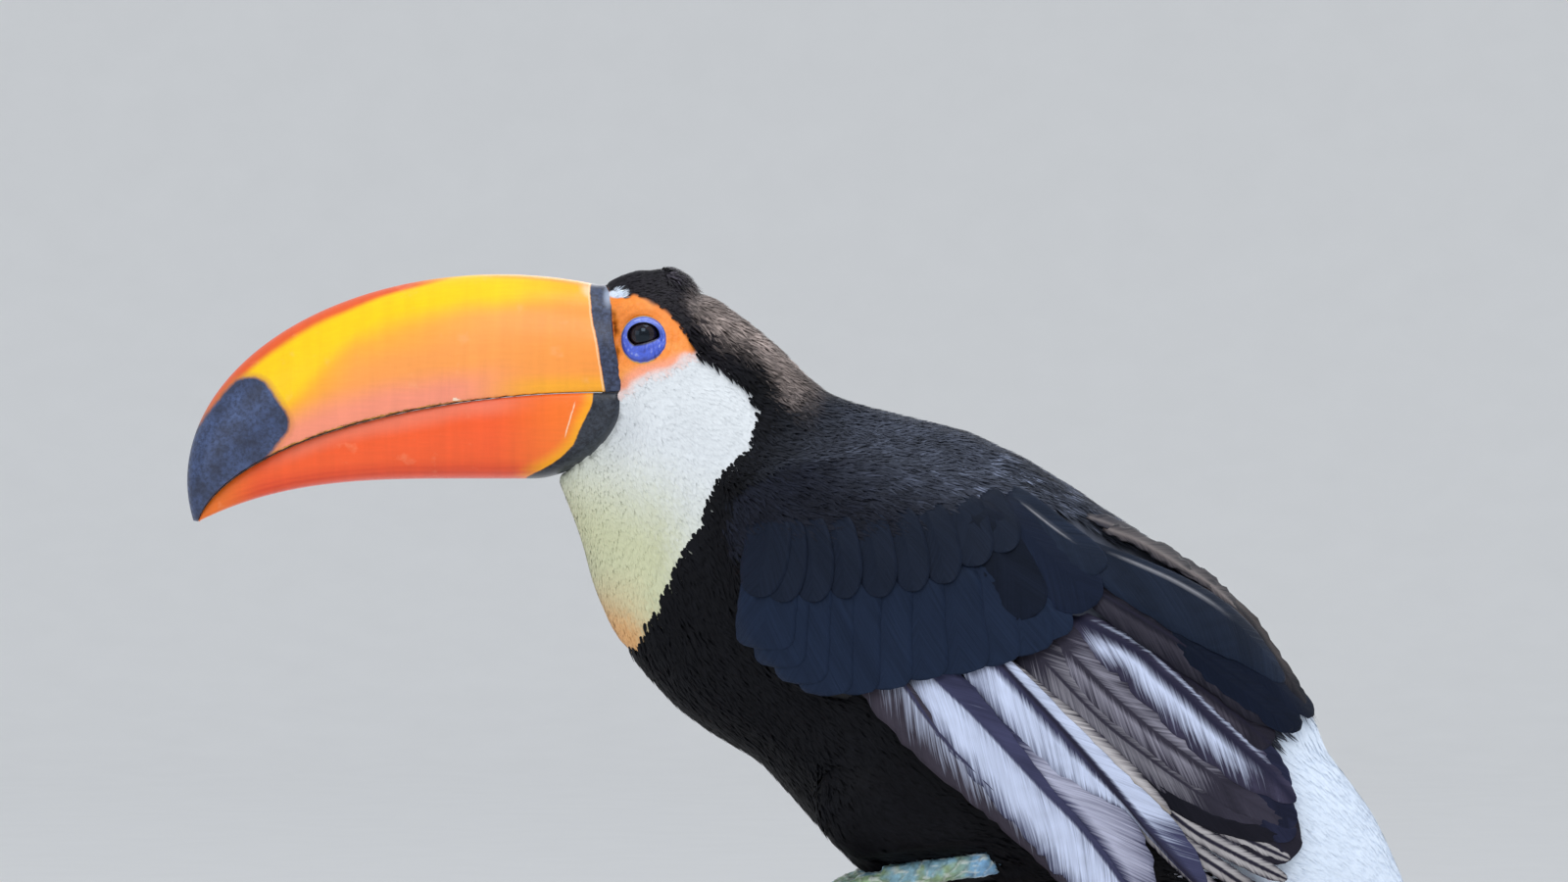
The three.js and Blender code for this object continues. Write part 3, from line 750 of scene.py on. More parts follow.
def dark_colour(points):
    """The black parts: violet on the crown, a painted sheen of brown and grey along the nape, deepest on the
    breast.
    """
    number, down = body_place(points)
    fine, broad = fine_noise(points), broad_noise(points)
    colour = np.tile(BREAST_BLACK, (len(points), 1))
    # painted sheen: the top of the back lighter and greyer
    back = (1 - ramp(down, 0.22, 0.5)) * ramp(number, 4.2, 6.2)
    colour = blend_colours(colour, BACK_BLACK_AND_SHEEN, back)
    crown = (1 - ramp(number, 2.6, 4.2)) * (1 - ramp(down, 0.25, 0.5))
    colour = blend_colours(colour, CROWN_BLACK, crown)
    under = down * at_section(number, SECTION_TALL)
    # painted sheen: the nape's brown, strongest at its top edge
    nape = ramp(number, 2.3, 3.1) * (1 - ramp(number, 4.3, 5.1))
    nape = nape * (1 - ramp(under + 4 * broad + 2 * fine, 7, 17)) * ramp(distance_from(ORBIT, points), 4, 9)
    return blend_colours(colour, NAPE_BROWN_SHEEN, nape * (0.8 + 0.3 * fine))


def bib_colour(points):
    """White at the rear, pale yellow below, and peach at the front of the breast."""
    x, z = points[:, 0], points[:, 2]
    broad = broad_noise(points)
    cream = ramp(352 - z + 0.35 * (-100 - x), 15, 62) * (1 - 0.55 * ramp(x, -100, -82))
    white = blend_colours(np.tile(BIB_WHITE, (len(points), 1)), BIB_CREAM, cream)
    peach = ramp(300 - z + 6 * broad, 10, 40) * ramp(-97 - x + 0.25 * (300 - z) + 4 * broad, 4, 20)
    white = blend_colours(white, BIB_PEACH, 0.9 * peach)
    near = 1 - ramp(distance_from(ORBIT, points), 0.0, 3.6)
    return blend_colours(white, PINK_SKIN, 0.55 * near)


def rear_colour(points):
    """White over the tail and red under it."""
    down = body_place(points)[1]
    white = np.tile(RUMP_WHITE, (len(points), 1))
    return blend_colours(white, VENT_RED, ramp(down + 0.03 * fine_noise(points), 0.8, 0.86))


def shoulder_colour(points):
    """Navy black over the wing's bend, and like the back, with its painted sheen, above it."""
    return blend_colours(np.tile(SHOULDER_BLACK, (len(points), 1)), BACK_BLACK_AND_SHEEN, 0.75 * shoulder_top(points))


def shoulder_top(points):
    """1 where the shoulder's feathers meet the back's, and 0 lower down."""
    number, down = body_place(points)
    return (1 - ramp(down, 0.1, 0.3)) * ramp(number, 4.6, 6.6)


def face_colour(points):
    """The bare skin round the eye."""
    under_eye = 366 - points[:, 2]
    pale = 0.5 * ramp(under_eye + 2 * broad_noise(points), 0, 16) + 0.25 * (1 + fine_noise(points))
    bare = blend_colours(np.tile(ORANGE_SKIN, (len(points), 1)), ORANGE_PALE, pale)
    edge = 1 - ramp(-distance_from(ORBIT, points), 0.5, 4.5)
    return blend_colours(bare, PINK_SKIN, edge * ramp(under_eye, 0, 6))


def fluff_share(points):
    """1 in the small white tuft behind the top of the bill."""
    return 1 - ramp(oval(points, FLUFF, (3.4, 1.5)), 0.8, 1.2)


def by_the_bib(points):
    """Whether points lie between the bib and the bare skin over it."""
    return (distance_from(ORBIT, points) < 3) & (points[:, 2] < 364.3) & (points[:, 0] < -84)


def coat_colour(points):
    """The colour of the skin, the same as that of the coat over it, at each point in linear light."""
    x, z = points[:, 0], points[:, 2]
    number, down = body_place(points)
    fine = fine_noise(points)
    rear = ramp(number + 0.15 * broad_noise(points), 11.35, 11.7)
    rear = np.maximum(rear * (down < 0.83), ramp(number, 12.4, 12.8))
    colour = blend_colours(dark_colour(points), rear_colour(points), rear)
    bib = 1 - ramp(distance_from(BIB, points) + 0.3 * fine, -0.5, 0.5)
    bib = np.where(by_the_bib(points), 1, bib)
    colour = blend_colours(colour, bib_colour(points), bib)
    face = 1 - ramp(distance_from(ORBIT, points) + 0.5 * fine, -0.8, 1.2)
    colour = blend_colours(colour, face_colour(points), face)
    gape = (1 - ramp(np.abs(z - GAPE[1]), 1.0, 2.2)) * ramp(GAPE[0] - x, 0, 0.8)
    colour = blend_colours(colour, CROWN_BLACK, gape)
    return blend_colours(colour, RUMP_WHITE, fluff_share(points))


# ---- tufts ----
def snap(points):
    """The nearest places on the skin to points, and its softened normals there."""
    places, index = np.empty_like(points), np.zeros(len(points), int)
    for i, point in enumerate(points):
        places[i], _, index[i], _ = skin_tree.find_nearest(Vector(point))
    return places, FACE_NORMALS[index]


# A blade has 3 vertices at its root, 3 at its middle and 1 at its tip. Of each 3 the second is on its ridge.
BLADE_FACES = np.array([
    (0, 1, 2), (0, 4, 1), (0, 3, 4), (1, 5, 2), (1, 4, 5),
    (2, 3, 0), (2, 5, 3), (3, 6, 4), (4, 6, 5), (5, 6, 3),
])
BLADE_FACING = np.array((1, 1, 1, 1, 1, -1, -1, 1, 1, -1))  # -1 for the faces on a blade's underside


def follow(roots, ways, normals, length):
    """Where blades of a length come to lie on the skin, with its normals, and which of them leave it."""
    targets = roots + ways * length[:, None]
    places, found = snap(targets)
    astray = (np.sum(found * normals, 1) < 0.25) | (np.linalg.norm(places - targets, axis=1) > 3.0)
    places[astray] = targets[astray]
    found[astray] = normals[astray]
    return places, found, astray


def agreed(normals, ahead, side):
    """The normals, or those of a blade's own plane where the two are far apart."""
    own = unit(np.cross(ahead, side))
    apart = np.sum(own * normals, 1) < 0.8
    return np.where(apart[:, None], own, normals)


def blade_mesh(roots, ways, normals, length, width, rise, sink, keel):
    """Closed thin blades over a surface, 7 vertices each, from roots along ways with tips at height rise.

    keel is the height of a blade's ridge as a share of its width. Blades that would leave the skin are short.
    """
    end, normals_2, astray = follow(roots, ways, normals, length)
    length = np.where(astray, 0.4 * length, length)
    end[astray] = (roots + ways * length[:, None])[astray]
    middle, normals_1, _ = follow(roots, ways, normals, length * 0.5)
    rise = np.where(astray, 0.3 * rise, rise)
    start = roots - normals * sink[:, None]
    middle = middle + normals_1 * (rise * 0.66)[:, None]
    end = end + normals_2 * rise[:, None]
    side_0 = unit(np.cross(normals, ways))
    side_1 = unit(np.cross(normals_1, end - start))
    w = width[:, None]
    vertices = np.stack([
        start - side_0 * w * 0.35, start + normals * w * keel, start + side_0 * w * 0.35,
        middle - side_1 * w * 0.5, middle + normals_1 * w * keel, middle + side_1 * w * 0.5, end,
    ], 1)
    faces = BLADE_FACES[None] + 7 * np.arange(len(roots))[:, None, None]
    lean = 2.2 * keel
    flat_0 = agreed(normals, middle - start, side_0)
    flat_1 = agreed(normals_1, end - start, side_1)
    flat_2 = agreed(normals_2, end - middle, side_1)
    shading = unit(np.stack([
        flat_0 - side_0 * lean, flat_0, flat_0 + side_0 * lean,
        flat_1 - side_1 * lean, flat_1, flat_1 + side_1 * lean, flat_2 + 0.5 * lean * unit(end - middle),
    ], 1))
    corners = shading[:, BLADE_FACES] * BLADE_FACING[None, :, None, None]
    return vertices.reshape(-1, 3), faces.reshape(-1, 3), corners.reshape(-1, 3)


def turned(ways, normals, angle):
    """ways turned round the normals by angle."""
    c, s = np.cos(angle)[:, None], np.sin(angle)[:, None]
    return ways * c + np.cross(normals, ways) * s


# Turns the grid that thins out the roots, so that they form no rows along the axes.
GRID_TURN = np.linalg.qr(np.array([(1.0, 0.31, 0.17), (-0.4, 1.0, 0.27), (0.13, -0.5, 1.0)]))[0]


def scattered(spacing, seed, wanted):
    """Evenly spread points of the skin with its normals, where wanted(points) says so."""
    rng = random_numbers(seed)
    a, b, c, d = (skin_vertices[skin_faces[:, k]] for k in range(4))
    area = 0.5 * np.linalg.norm(np.cross(c - a, d - b), axis=1)
    number = int(4.5 * area.sum() / spacing**2)
    face = rng.choice(len(skin_faces), number, p=area / area.sum())
    u, v = rng.random((2, number, 1))
    points = mix(mix(a[face], b[face], u), mix(d[face], c[face], u), v)
    normals = FACE_NORMALS[face]
    chosen = wanted(points)
    points, normals = points[chosen], normals[chosen]
    cell = np.floor(points @ GRID_TURN / spacing).astype(np.int64)
    _, first = np.unique(cell, axis=0, return_index=True)
    return points[first], normals[first]


def skin_unwrap(points):
    """Where points lie on an unwrap of the skin: round the body, and along it."""
    number, down = body_place(points)
    height = np.clip(1 - 2 * down, -1.3, 1.3) * at_section(number, SECTION_TALL) / 2
    around = np.arctan2(points[:, 1], height) / (2 * np.pi) + 0.5
    run = run_along((BACK + BELLY) / 2)
    return around, at_section(number, run) / run[-1]


def set_bake_map(piece, corners_uv):
    layer = piece.data.uv_layers.new(name="OFBake")
    layer.data.foreach_set("uv", np.asarray(corners_uv, np.float32).ravel())


PATCH = 0.003  # the side of a tuft's patch on the bake map
BAKE_MARGIN = 0.01
# For the 7 vertices of a blade: the place on its patch across and along, and how much lighter the vertex is:
# a painted shade at its root and a painted highlight at its tip.
PATCH_ACROSS = PATCH * np.array((-0.4, 0, 0.4, -0.5, 0, 0.5, 0))
PATCH_ALONG = PATCH * np.array((-0.5, -0.5, -0.5, 0, 0, 0, 0.5))
BLADE_PAINTED_LIGHT = np.array((-1.0, -1.0, -1.0, -0.2, -0.1, -0.2, 0.5))


def tuft_piece(name, roots, normals, look, material, slot, seed, colour):
    """A piece of the coat: a tuft of fanned blades at each root.

    look(roots) gives length, width, rise, the fan's half angle, how far the lie is turned, and lightness, and
    colour(points) the colour.
    """
    rng = random_numbers(seed)
    length, width, rise, fan, turn, light = look(roots)
    count = look.blades
    ways = turned(lie(roots, normals), normals, turn + look.stray * rng.standard_normal(len(roots)))
    base_colour = colour(roots + ways * length[:, None] * 0.35)
    tuft = np.repeat(np.arange(len(roots)), count)
    share = np.tile(np.linspace(-1, 1, count), len(roots)) + 0.35 * rng.standard_normal(len(tuft))
    n, w = normals[tuft], ways[tuft]
    out = turned(w, n, share * fan[tuft])
    side = np.cross(n, w)
    start = roots[tuft] + side * (share * width[tuft] * 0.5)[:, None]
    each_length = length[tuft] * (1 - 0.12 * share**2) * (1 + 0.14 * rng.standard_normal(len(tuft)))
    each_rise = rise[tuft] * (0.75 + 0.35 * rng.random(len(tuft)))
    sink = 0.25 + 0.2 * rng.random(len(tuft))
    vertices, faces, shading = blade_mesh(start, out, n, each_length, width[tuft], each_rise, sink, look.keel)
    piece = make_mesh(name, vertices, faces)
    piece.data.normals_split_custom_set(shading)
    tone = (light * (1 + look.vary * rng.standard_normal(len(roots))))[tuft]
    tone = tone * (1 + 0.8 * look.vary * rng.standard_normal(len(tuft)))
    # each blade darker at its root and lighter at its tip: painted shade and painted highlight
    shade = np.clip(tone[:, None] * (1 + look.depth * BLADE_PAINTED_LIGHT)[None], 0, None)
    set_colours(piece, (base_colour[tuft][:, None, :] * shade[..., None]).reshape(-1, 3))
    u, v = skin_unwrap(roots)
    v = (v - v.min()) / max(v.max() - v.min(), 1e-6)
    u, v = (mix(BAKE_MARGIN, 1 - BAKE_MARGIN, share)[tuft][:, None] for share in (u, v))
    uv = np.stack([u + PATCH_ACROSS[None], v + PATCH_ALONG[None]], -1).reshape(-1, 2)
    set_bake_map(piece, uv[faces.reshape(-1)])
    wear(piece, material)


class Look:
    """How the tufts of one part of the coat look.

    turn, light and grow are functions of the roots, keel the height of a blade's ridge as a share of its
    width, vary how much lightness differs between tufts, depth how strong a blade's painted shade at its root
    and painted highlight at its tip are, and stray how far the lie differs between tufts.
    """

    def __init__(self, length, width, rise, fan=0.25, blades=4, turn=None, light=None, grow=None, keel=0.16,
                 vary=0.1, depth=0.22, stray=0.1):
        self.length, self.width, self.rise, self.fan, self.blades = length, width, rise, fan, blades
        self.turn, self.light, self.grow = turn, light, grow
        self.keel, self.vary, self.depth, self.stray = keel, vary, depth, stray

    def __call__(self, roots):
        even = np.ones(len(roots))
        size = self.grow(roots) if self.grow else even
        turn = self.turn(roots) if self.turn else 0 * even
        light = self.light(roots) if self.light else even
        return self.length * size, self.width * size**0.5, self.rise * size, self.fan * even, turn, light


def feather_material(name, roughness, sheen, tint, specular, streak=0.2, relief=0.3):
    """Barbs over the painted markings, with fine light and dark streaks."""
    material, tree, shader = new_material(name, roughness, Sheen_Weight=sheen, Sheen_Roughness=0.4)
    shader.inputs["Specular IOR Level"].default_value = specular
    shader.inputs["Sheen Tint"].default_value = (*tint, 1)
    where = place_on(tree)
    fine = noise_on(tree, where, 900, 4, 0.6)
    broad = noise_on(tree, where, 90, 3, 0.5)
    grains = (fine, 1 - streak, 1 + streak), (broad, 1 - 0.4 * streak, 1 + 0.4 * streak)
    set_base(tree, shader, shaded(tree, painted(tree), *grains))
    bump(tree, shader, fine, 0.05, relief)
    return material


# Which parts of the body the wing covers, and the parts hidden under its long feathers.
guide_vertices, guide_faces = largest_shell(*voxel_shell(FLESH + FLIGHT, 1.5))
guide_vertices = smoothed(guide_vertices, guide_faces, 6)
guide_tree = tree_of(guide_vertices, guide_faces)
# These three trees are in metres, like the CAD nodes.
wing_tree, body_tree, flight_tree = (
    BVHTree.FromBMesh(node_solid(names, 0.0)) for names in (COVERTS, BODY, FLIGHT)
)
WING_NEAR, WING_LEAD, FLIGHT_NEAR = 0.008, 0.0003, 0.03


def on_wing(points):
    """Whether each skin point lies under the wing's small feathers rather than on the body."""
    answer = np.zeros(len(points), bool)
    for i, point in enumerate(points):
        spot = Vector(point * MM)
        wing = wing_tree.find_nearest(spot, WING_NEAR)[3]
        if wing is not None:
            answer[i] = wing < body_tree.find_nearest(spot)[3] + WING_LEAD
    return answer


def under_flight(points):
    """Whether the long wing feathers hide each skin point from the side."""
    answer = np.zeros(len(points), bool)
    for i, point in enumerate(points):
        side = -1 if point[1] < 0 else 1
        hit = flight_tree.ray_cast(Vector(point * MM), Vector((0, side, 0)), FLIGHT_NEAR)
        answer[i] = hit[0] is not None
    return answer


SKIN_WING = on_wing(skin_vertices)
SKIN_HIDDEN = under_flight(skin_vertices)
skin_finder = KDTree(len(skin_vertices))
for index, vertex in enumerate(skin_vertices):
    skin_finder.insert(vertex, index)
skin_finder.balance()


def nearest_skin(points):
    return np.array([skin_finder.find(point)[1] for point in points])


# ---- skin and legs ----
LEG_NODES = [f"{part}_{side}" for part in ("shank", "foot") for side, _ in SIDES]
SCUTE = 3.9  # the length of a scale on the front of the legs
HEEL_DIVE = 10.0  # how far the heels bend in under the belly's coat
LEG_BLUE = srgb(136, 180, 198)
LEG_DEEP = srgb(116, 170, 222)
LEG_PALE = srgb(218, 226, 222)
LEG_OLIVE = srgb(146, 170, 112)


def leg_run(points):
    """How far along its shank or toe each point of a leg lies, and which it is, 0 shank and 1 toe."""
    heel, foot = np.array(SHANK["heel"]), np.array(SHANK["foot"])
    way = unit(foot - heel)
    along = (points[:, [0, 2]] - heel) @ way
    reach = np.hypot(points[:, 0] - PERCH["x"], points[:, 2] - PERCH["z"])
    angle = np.arctan2(points[:, 0] - PERCH["x"], points[:, 2] - PERCH["z"])
    toe = (reach < PERCH["radius"] + 9) & ((points[:, 0] < -4) | (points[:, 2] < 166))
    return np.where(toe, 18 * angle + 2.0 * np.sign(np.abs(points[:, 1]) - LEG_Y), along), toe


def legs():
    """The scaly shanks and toes, with a step at each scute."""
    vertices, faces = voxel_shell(LEG_NODES, 0.7, 0.2)
    vertices = smoothed(vertices, faces, 3)
    normals = vertex_normals(vertices, faces)
    run, toe = leg_run(vertices)
    shank = np.where(toe, 0.0, 1.0)
    slant = 0.9 * shank * (vertices[:, 2] - 175.0)
    warp = run + slant + (1.0 + 1.6 * shank) * noise(vertices, 4, 21)
    step = (warp / SCUTE) % 1.0
    small = noise(vertices, 1.6, 22)
    long_way = np.stack([0.22 * run, vertices[:, 1], vertices[:, 2]], -1)
    flake = ramp(noise(long_way, 0.8, 26), 0.1, 0.5)
    vertices = vertices + normals * (0.3 * (step - 0.6) + 0.15 * small + 0.25 * flake - 0.15)[:, None]
    edge = bump_at(step, 0.93, 0.09) * ramp(noise(vertices, 3.0, 27), -0.4, 0.5)
    green = ramp(noise(vertices, 5, 23) + 0.4 * noise(vertices, 1.8, 28), -0.15, 0.45)
    colour = blend_colours(np.tile(LEG_BLUE, (len(vertices), 1)), LEG_OLIVE, green * 0.8)
    colour = blend_colours(colour, LEG_DEEP, 0.7 * ramp(vertices[:, 0], 8, 24))
    colour = colour * (0.92 + 0.3 * small[:, None] + 0.16 * noise(vertices, 0.8, 29)[:, None])
    colour = blend_colours(colour, LEG_PALE, np.clip(0.55 * edge + 0.6 * flake, 0, 0.8))
    groove = bump_at(np.minimum(step, 1 - step), 0, 0.06)
    vertices[:, 1] -= HEEL_DIVE * np.sign(vertices[:, 1]) * ramp(vertices[:, 0], 22, 34)
    return vertices, faces, colour * (1 - 0.35 * groove)[:, None]


def face_folds(points):
    """The fine folds of the bare skin round the eye, as a height in millimetres."""
    side = points[:, 1] < 0
    dx, dz = points[:, 0] - EYE["x"] - 0.4, points[:, 2] - EYE["z"] + 1.6
    away = np.hypot(dx, dz * 0.95)
    around = np.arctan2(dz, dx)
    bare = 1 - ramp(distance_from(ORBIT, points), -3.0, -0.3)
    warped = away + 0.8 * noise(points, 6, 31)
    rings = np.sin(warped * 2.6) * bump_at(away, 11.5, 2.6)
    spots = np.stack([3.4 * np.cos(around), 3.4 * np.sin(around), 0.15 * away + 9 * side], -1)
    spokes = noise(spots, 0.32, 32)
    grain = noise(points, 0.9, 33)
    return bare * (0.12 * rings + 0.13 * spokes * ramp(away, 8, 10) + 0.06 * grain)


def by_the_eye(place):
    """Whether a place, in metres, lies on the side of the head where the skin is bare."""
    return place.x < -0.078 and 0.344 < place.z < 0.392 and abs(place.y) > 0.008


def finer_by_the_eyes(vertices, faces):
    """The skin's vertices and triangles, with a finer mesh round the eyes."""
    piece = make_mesh("skin", vertices, faces)
    fine = bmesh.new()
    fine.from_mesh(piece.data)
    near = [edge for edge in fine.edges if all(by_the_eye(vertex.co) for vertex in edge.verts)]
    bmesh.ops.subdivide_edges(fine, edges=near, cuts=2, use_grid_fill=True, smooth=0.6)
    bmesh.ops.triangulate(fine, faces=fine.faces[:])
    fine.to_mesh(piece.data)
    fine.free()
    finer = mesh_arrays(piece.data, 3)
    bpy.data.objects.remove(piece)
    return finer


def make_skin():
    """The whole skin as one piece, folded round the eyes, and with the legs."""
    vertices, faces = finer_by_the_eyes(skin_vertices, skin_faces)
    leg_vertices, leg_faces, leg_colour = legs()
    folded = vertices + vertex_normals(vertices, faces) * face_folds(vertices)[:, None]
    piece = make_mesh("skin", *joined([(folded, faces), (leg_vertices, triangles(leg_faces))]))
    bare = 1 - ramp(distance_from(ORBIT, vertices), -0.5, 1.5)
    set_colours(piece, np.concatenate([coat_colour(vertices), leg_colour]))
    set_numbers(piece, "bare", np.concatenate([bare, np.ones(len(leg_vertices))]))
    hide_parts(*FLESH, *LEG_NODES)
    return piece


def skin_material():
    material, tree, shader = new_material("skin_living", 0.5)
    where = place_on(tree)
    bare = number_of(tree, "bare")
    fine = noise_on(tree, where, 1500, 5, 0.65)
    broad = noise_on(tree, where, 180, 4, 0.6)
    set_base(tree, shader, shaded(tree, painted(tree), (fine, 0.88, 1.1), (broad, 0.93, 1.06)))
    tree.links.new(stretch(tree, bare, 0, 1, 0.85, 0.46), shader.inputs["Roughness"])
    bump(tree, shader, math_node(tree, "ADD", fine, broad), 0.1, 0.6)
    return material


wear(make_skin(), skin_material())


# ---- coat ----
FEATHER_DARK = feather_material("feather_dark", 0.6, 0.0, (0.75, 0.82, 1.0), 0.1)
FEATHER_SILK = feather_material("feather_silk", 0.5, 0.02, (0.85, 0.8, 1.0), 0.18)
FEATHER_PALE = feather_material("feather_pale", 0.8, 0.1, (1, 1, 1), 0.1, 0.04, 0.08)


def shoulder_line(x):
    """Above this height the wing wears soft tufts, and below it broad feathers."""
    return np.interp(x, (-80, -45, 0, 25, 45, 60, 150), (292, 297, 299, 303, 311, 320, 330))


def by_the_leg(points):
    """Whether a point lies so near a shank that its feathers would cover it."""
    return (beside_shank(points) < 7.5) & (np.abs(points[:, 1]) > 12) & (points[:, 0] < 24)


def part_of_coat(points):
    """For each skin point, the part of the coat that grows there."""
    x, z = points[:, 0], points[:, 2]
    number, down = body_place(points)
    index = nearest_skin(points)
    wobble = 0.25 * noise(points, 3.0, 41)
    bib = distance_from(BIB, points) + wobble
    part = np.full(len(points), "breast", dtype="<U8")
    part[(down < 0.42) & (number < 7.2)] = "nape"
    part[(down < 0.5) & (number >= 7.2)] = "mantle"
    part[(number >= 7.2) & (down >= 0.5)] = "belly"
    part[(number < 2.9) & (down < 0.5)] = "crown"
    rump = (number > 11.45 + 0.1 * wobble) & (down < 0.83)
    part[rump] = "rump"
    part[(number > 12.5) & (down >= 0.83)] = "vent"
    part[(bib < 0) | by_the_bib(points) | ((x < -100) & (z < 352) & (number < 4))] = "bib"
    fluff = fluff_share(points) > 0.5
    part[fluff] = "crown"
    between_wings = (np.abs(points[:, 1]) < 22 - 10 * ramp(x, 66, 80)) & (x > 55) & (down < 0.5)
    wing = SKIN_WING[index] & ~rump & ~between_wings
    part[wing] = np.where(z > shoulder_line(x), "shoulder", "none")[wing]
    part[(distance_from(ORBIT, points) < 0.3) & ~fluff] = "none"
    part[under_bill(points) | by_the_leg(points)] = "none"
    return part


def under_bill(points):
    """Whether each point lies under the bill."""
    answer = np.zeros(len(points), bool)
    for i in np.flatnonzero((points[:, 0] < -100) & (points[:, 2] > 305)):
        x, y, z = points[i]
        half = half_width_at(bill_tree, x - 0.4, z, -1 if y < 0 else 1)
        answer[i] = half is not None and half > abs(y) - 0.2
    return answer


HIDDEN_SHARE = 0.45  # the share of the tufts that stays where the long wing feathers hide them


def coat_spots(spacing, seed, part):
    """Roots for tufts on a part of the coat, with the skin's normals there."""
    rng = random_numbers(seed + 500)
    points, normals = scattered(spacing, seed, lambda p: part_of_coat(p) == part)
    keep = ~SKIN_HIDDEN[nearest_skin(points)] | (rng.random(len(points)) < HIDDEN_SHARE)
    return clear_of_face(points[keep], normals[keep])


def clear_of_face(points, normals):
    """The roots of the tufts that don't lie over the bare skin of the face."""
    ways = lie(points, normals)
    nearest = np.full(len(points), np.inf)
    for reach in (0.0, 1.5, 3.0, 4.5):
        nearest = np.minimum(nearest, distance_from(ORBIT, points + reach * ways))
    keep = (nearest > 0.5) | (fluff_share(points) > 0.5) | by_the_bib(points)
    return points[keep], normals[keep]


def crest(points):
    """1 on the small raised tuft on the crown."""
    return bump_at(points[:, 0], -91.0, 5.5) * bump_at(points[:, 1], 0, 11.0) * ramp(points[:, 2], 382, 388)


def near_face(points):
    """Feathers grow small at the bill and round the eye, and longer away from them."""
    return mix(0.5, 1.0, ramp(distance_from(ORBIT, points), 0, 14) * ramp(points[:, 0], -116, -98))


WHITE = {"keel": 0.02, "vary": 0.012, "depth": 0.02, "stray": 0.05}
BLACK = {"keel": 0.12, "vary": 0.08}
# For each part: the tufts' spacing, look, material and slot.
COATS = {
    "crown": (1.6, Look(
        6.5, 0.9, 1.1, 0.3, 4, grow=near_face, turn=lambda p: 0.15 * noise(p, 8, 53), vary=0.16,
    ), FEATHER_SILK, "feather_black"),
    # lighter and darker clumps of tufts: painted sheen on the nape
    "nape": (2.0, Look(
        7.5, 1.2, 2.3, 0.34, 4, turn=lambda p: 0.4 * noise(p, 6, 54), vary=0.16,
        light=lambda p: 1 + 0.42 * noise(p, 4.2, 55) + 0.2 * noise(p, 12, 51),
    ), FEATHER_DARK, "feather_black"),
    "bib": (1.6, Look(7.5, 1.8, 0.7, 0.16, 4, grow=near_face, **WHITE), FEATHER_PALE, "feather_white"),
    "breast": (2.5, Look(10.0, 1.6, 1.9, 0.26, 4, **BLACK), FEATHER_DARK, "feather_black"),
    # pale streaks where the shoulder meets the back: the same painted highlight as on the mantle
    "shoulder": (2.3, Look(
        11.0, 1.4, 2.2, 0.26, 4, keel=0.1, vary=0.14, turn=lambda p: 0.25 * noise(p, 9, 56),
        light=lambda p: 1 + 1.9 * shoulder_top(p) * ramp(noise(p, 3.4, 57), 0.1, 0.9),
    ), FEATHER_DARK, "feather_black"),
    # pale streaks among the tufts: a painted highlight on the hairs of the back
    "mantle": (2.3, Look(
        11.0, 1.0, 2.2, 0.3, 5, turn=lambda p: 0.3 * noise(p, 9, 56), vary=0.35,
        light=lambda p: 0.7 + 2.6 * ramp(noise(p, 3.4, 57), 0.15, 0.95),
    ), FEATHER_DARK, "feather_black"),
    "belly": (2.7, Look(11.5, 1.7, 2.0, 0.3, 4, **BLACK), FEATHER_DARK, "feather_black"),
    "rump": (2.1, Look(17.0, 2.4, 1.1, 0.12, 4, **WHITE), FEATHER_PALE, "feather_white"),
    "vent": (2.3, Look(14.0, 1.8, 1.7, 0.2, 4, **WHITE), FEATHER_PALE, "feather_white"),
}



def crown_colour(points):
    """Black, with the small white tuft behind the bill."""
    return blend_colours(dark_colour(points), RUMP_WHITE, fluff_share(points))


PART_COLOURS = {"bib": bib_colour, "rump": rear_colour, "vent": rear_colour, "shoulder": shoulder_colour}

for order, (name, (spacing, look, material, slot)) in enumerate(COATS.items()):
    colour = PART_COLOURS.get(name, crown_colour)
    spots = coat_spots(spacing, 60 + order, name)
    tuft_piece(f"coat_{name}", *spots, look, material, slot, 80 + order, colour)


def crest_colour(points):
    """Painted grey violet highlights on the hairs, over the black."""
    share = 0.75 * ramp(noise(points, 2.4, 58), -0.3, 0.8)
    return blend_colours(dark_colour(points), srgb(96, 90, 104), share)


def crest_spots():
    """Roots of the few raised tufts at the back of the crown, which stand a little clear of its outline."""
    points, normals = coat_spots(1.6, 77, "crown")
    near = (crest(points) > 0.3) & (np.abs(points[:, 1]) < 13)
    return points[near], normals[near]


def heel_spots():
    """Roots of the belly feathers that hang over the ends of the shanks, clear of the belly."""
    points, normals = coat_spots(1.8, 78, "belly")
    x, z = points[:, 0], points[:, 2]
    over = z - np.interp(x, SHANK_SHOWN[::-1, 0], SHANK_SHOWN[::-1, 1])
    near = (x > 18) & (x < 36) & (over > 0) & (over < 9) & (np.abs(points[:, 1]) > 14)
    return points[near], normals[near]


HEEL_LOOK = Look(10.0, 1.8, 3.4, 0.3, 4, turn=lambda p: 0.3 * np.sign(p[:, 1]), **BLACK)
CREST_LOOK = Look(8.0, 0.8, 2.6, 0.4, 4, vary=0.25, stray=0.3, grow=lambda p: 0.6 + 0.5 * crest(p))
tuft_piece("coat_heel", *heel_spots(), HEEL_LOOK, FEATHER_DARK, "feather_black", 98, dark_colour)
tuft_piece("coat_crest", *crest_spots(), CREST_LOOK, FEATHER_SILK, "feather_black", 97, crest_colour)


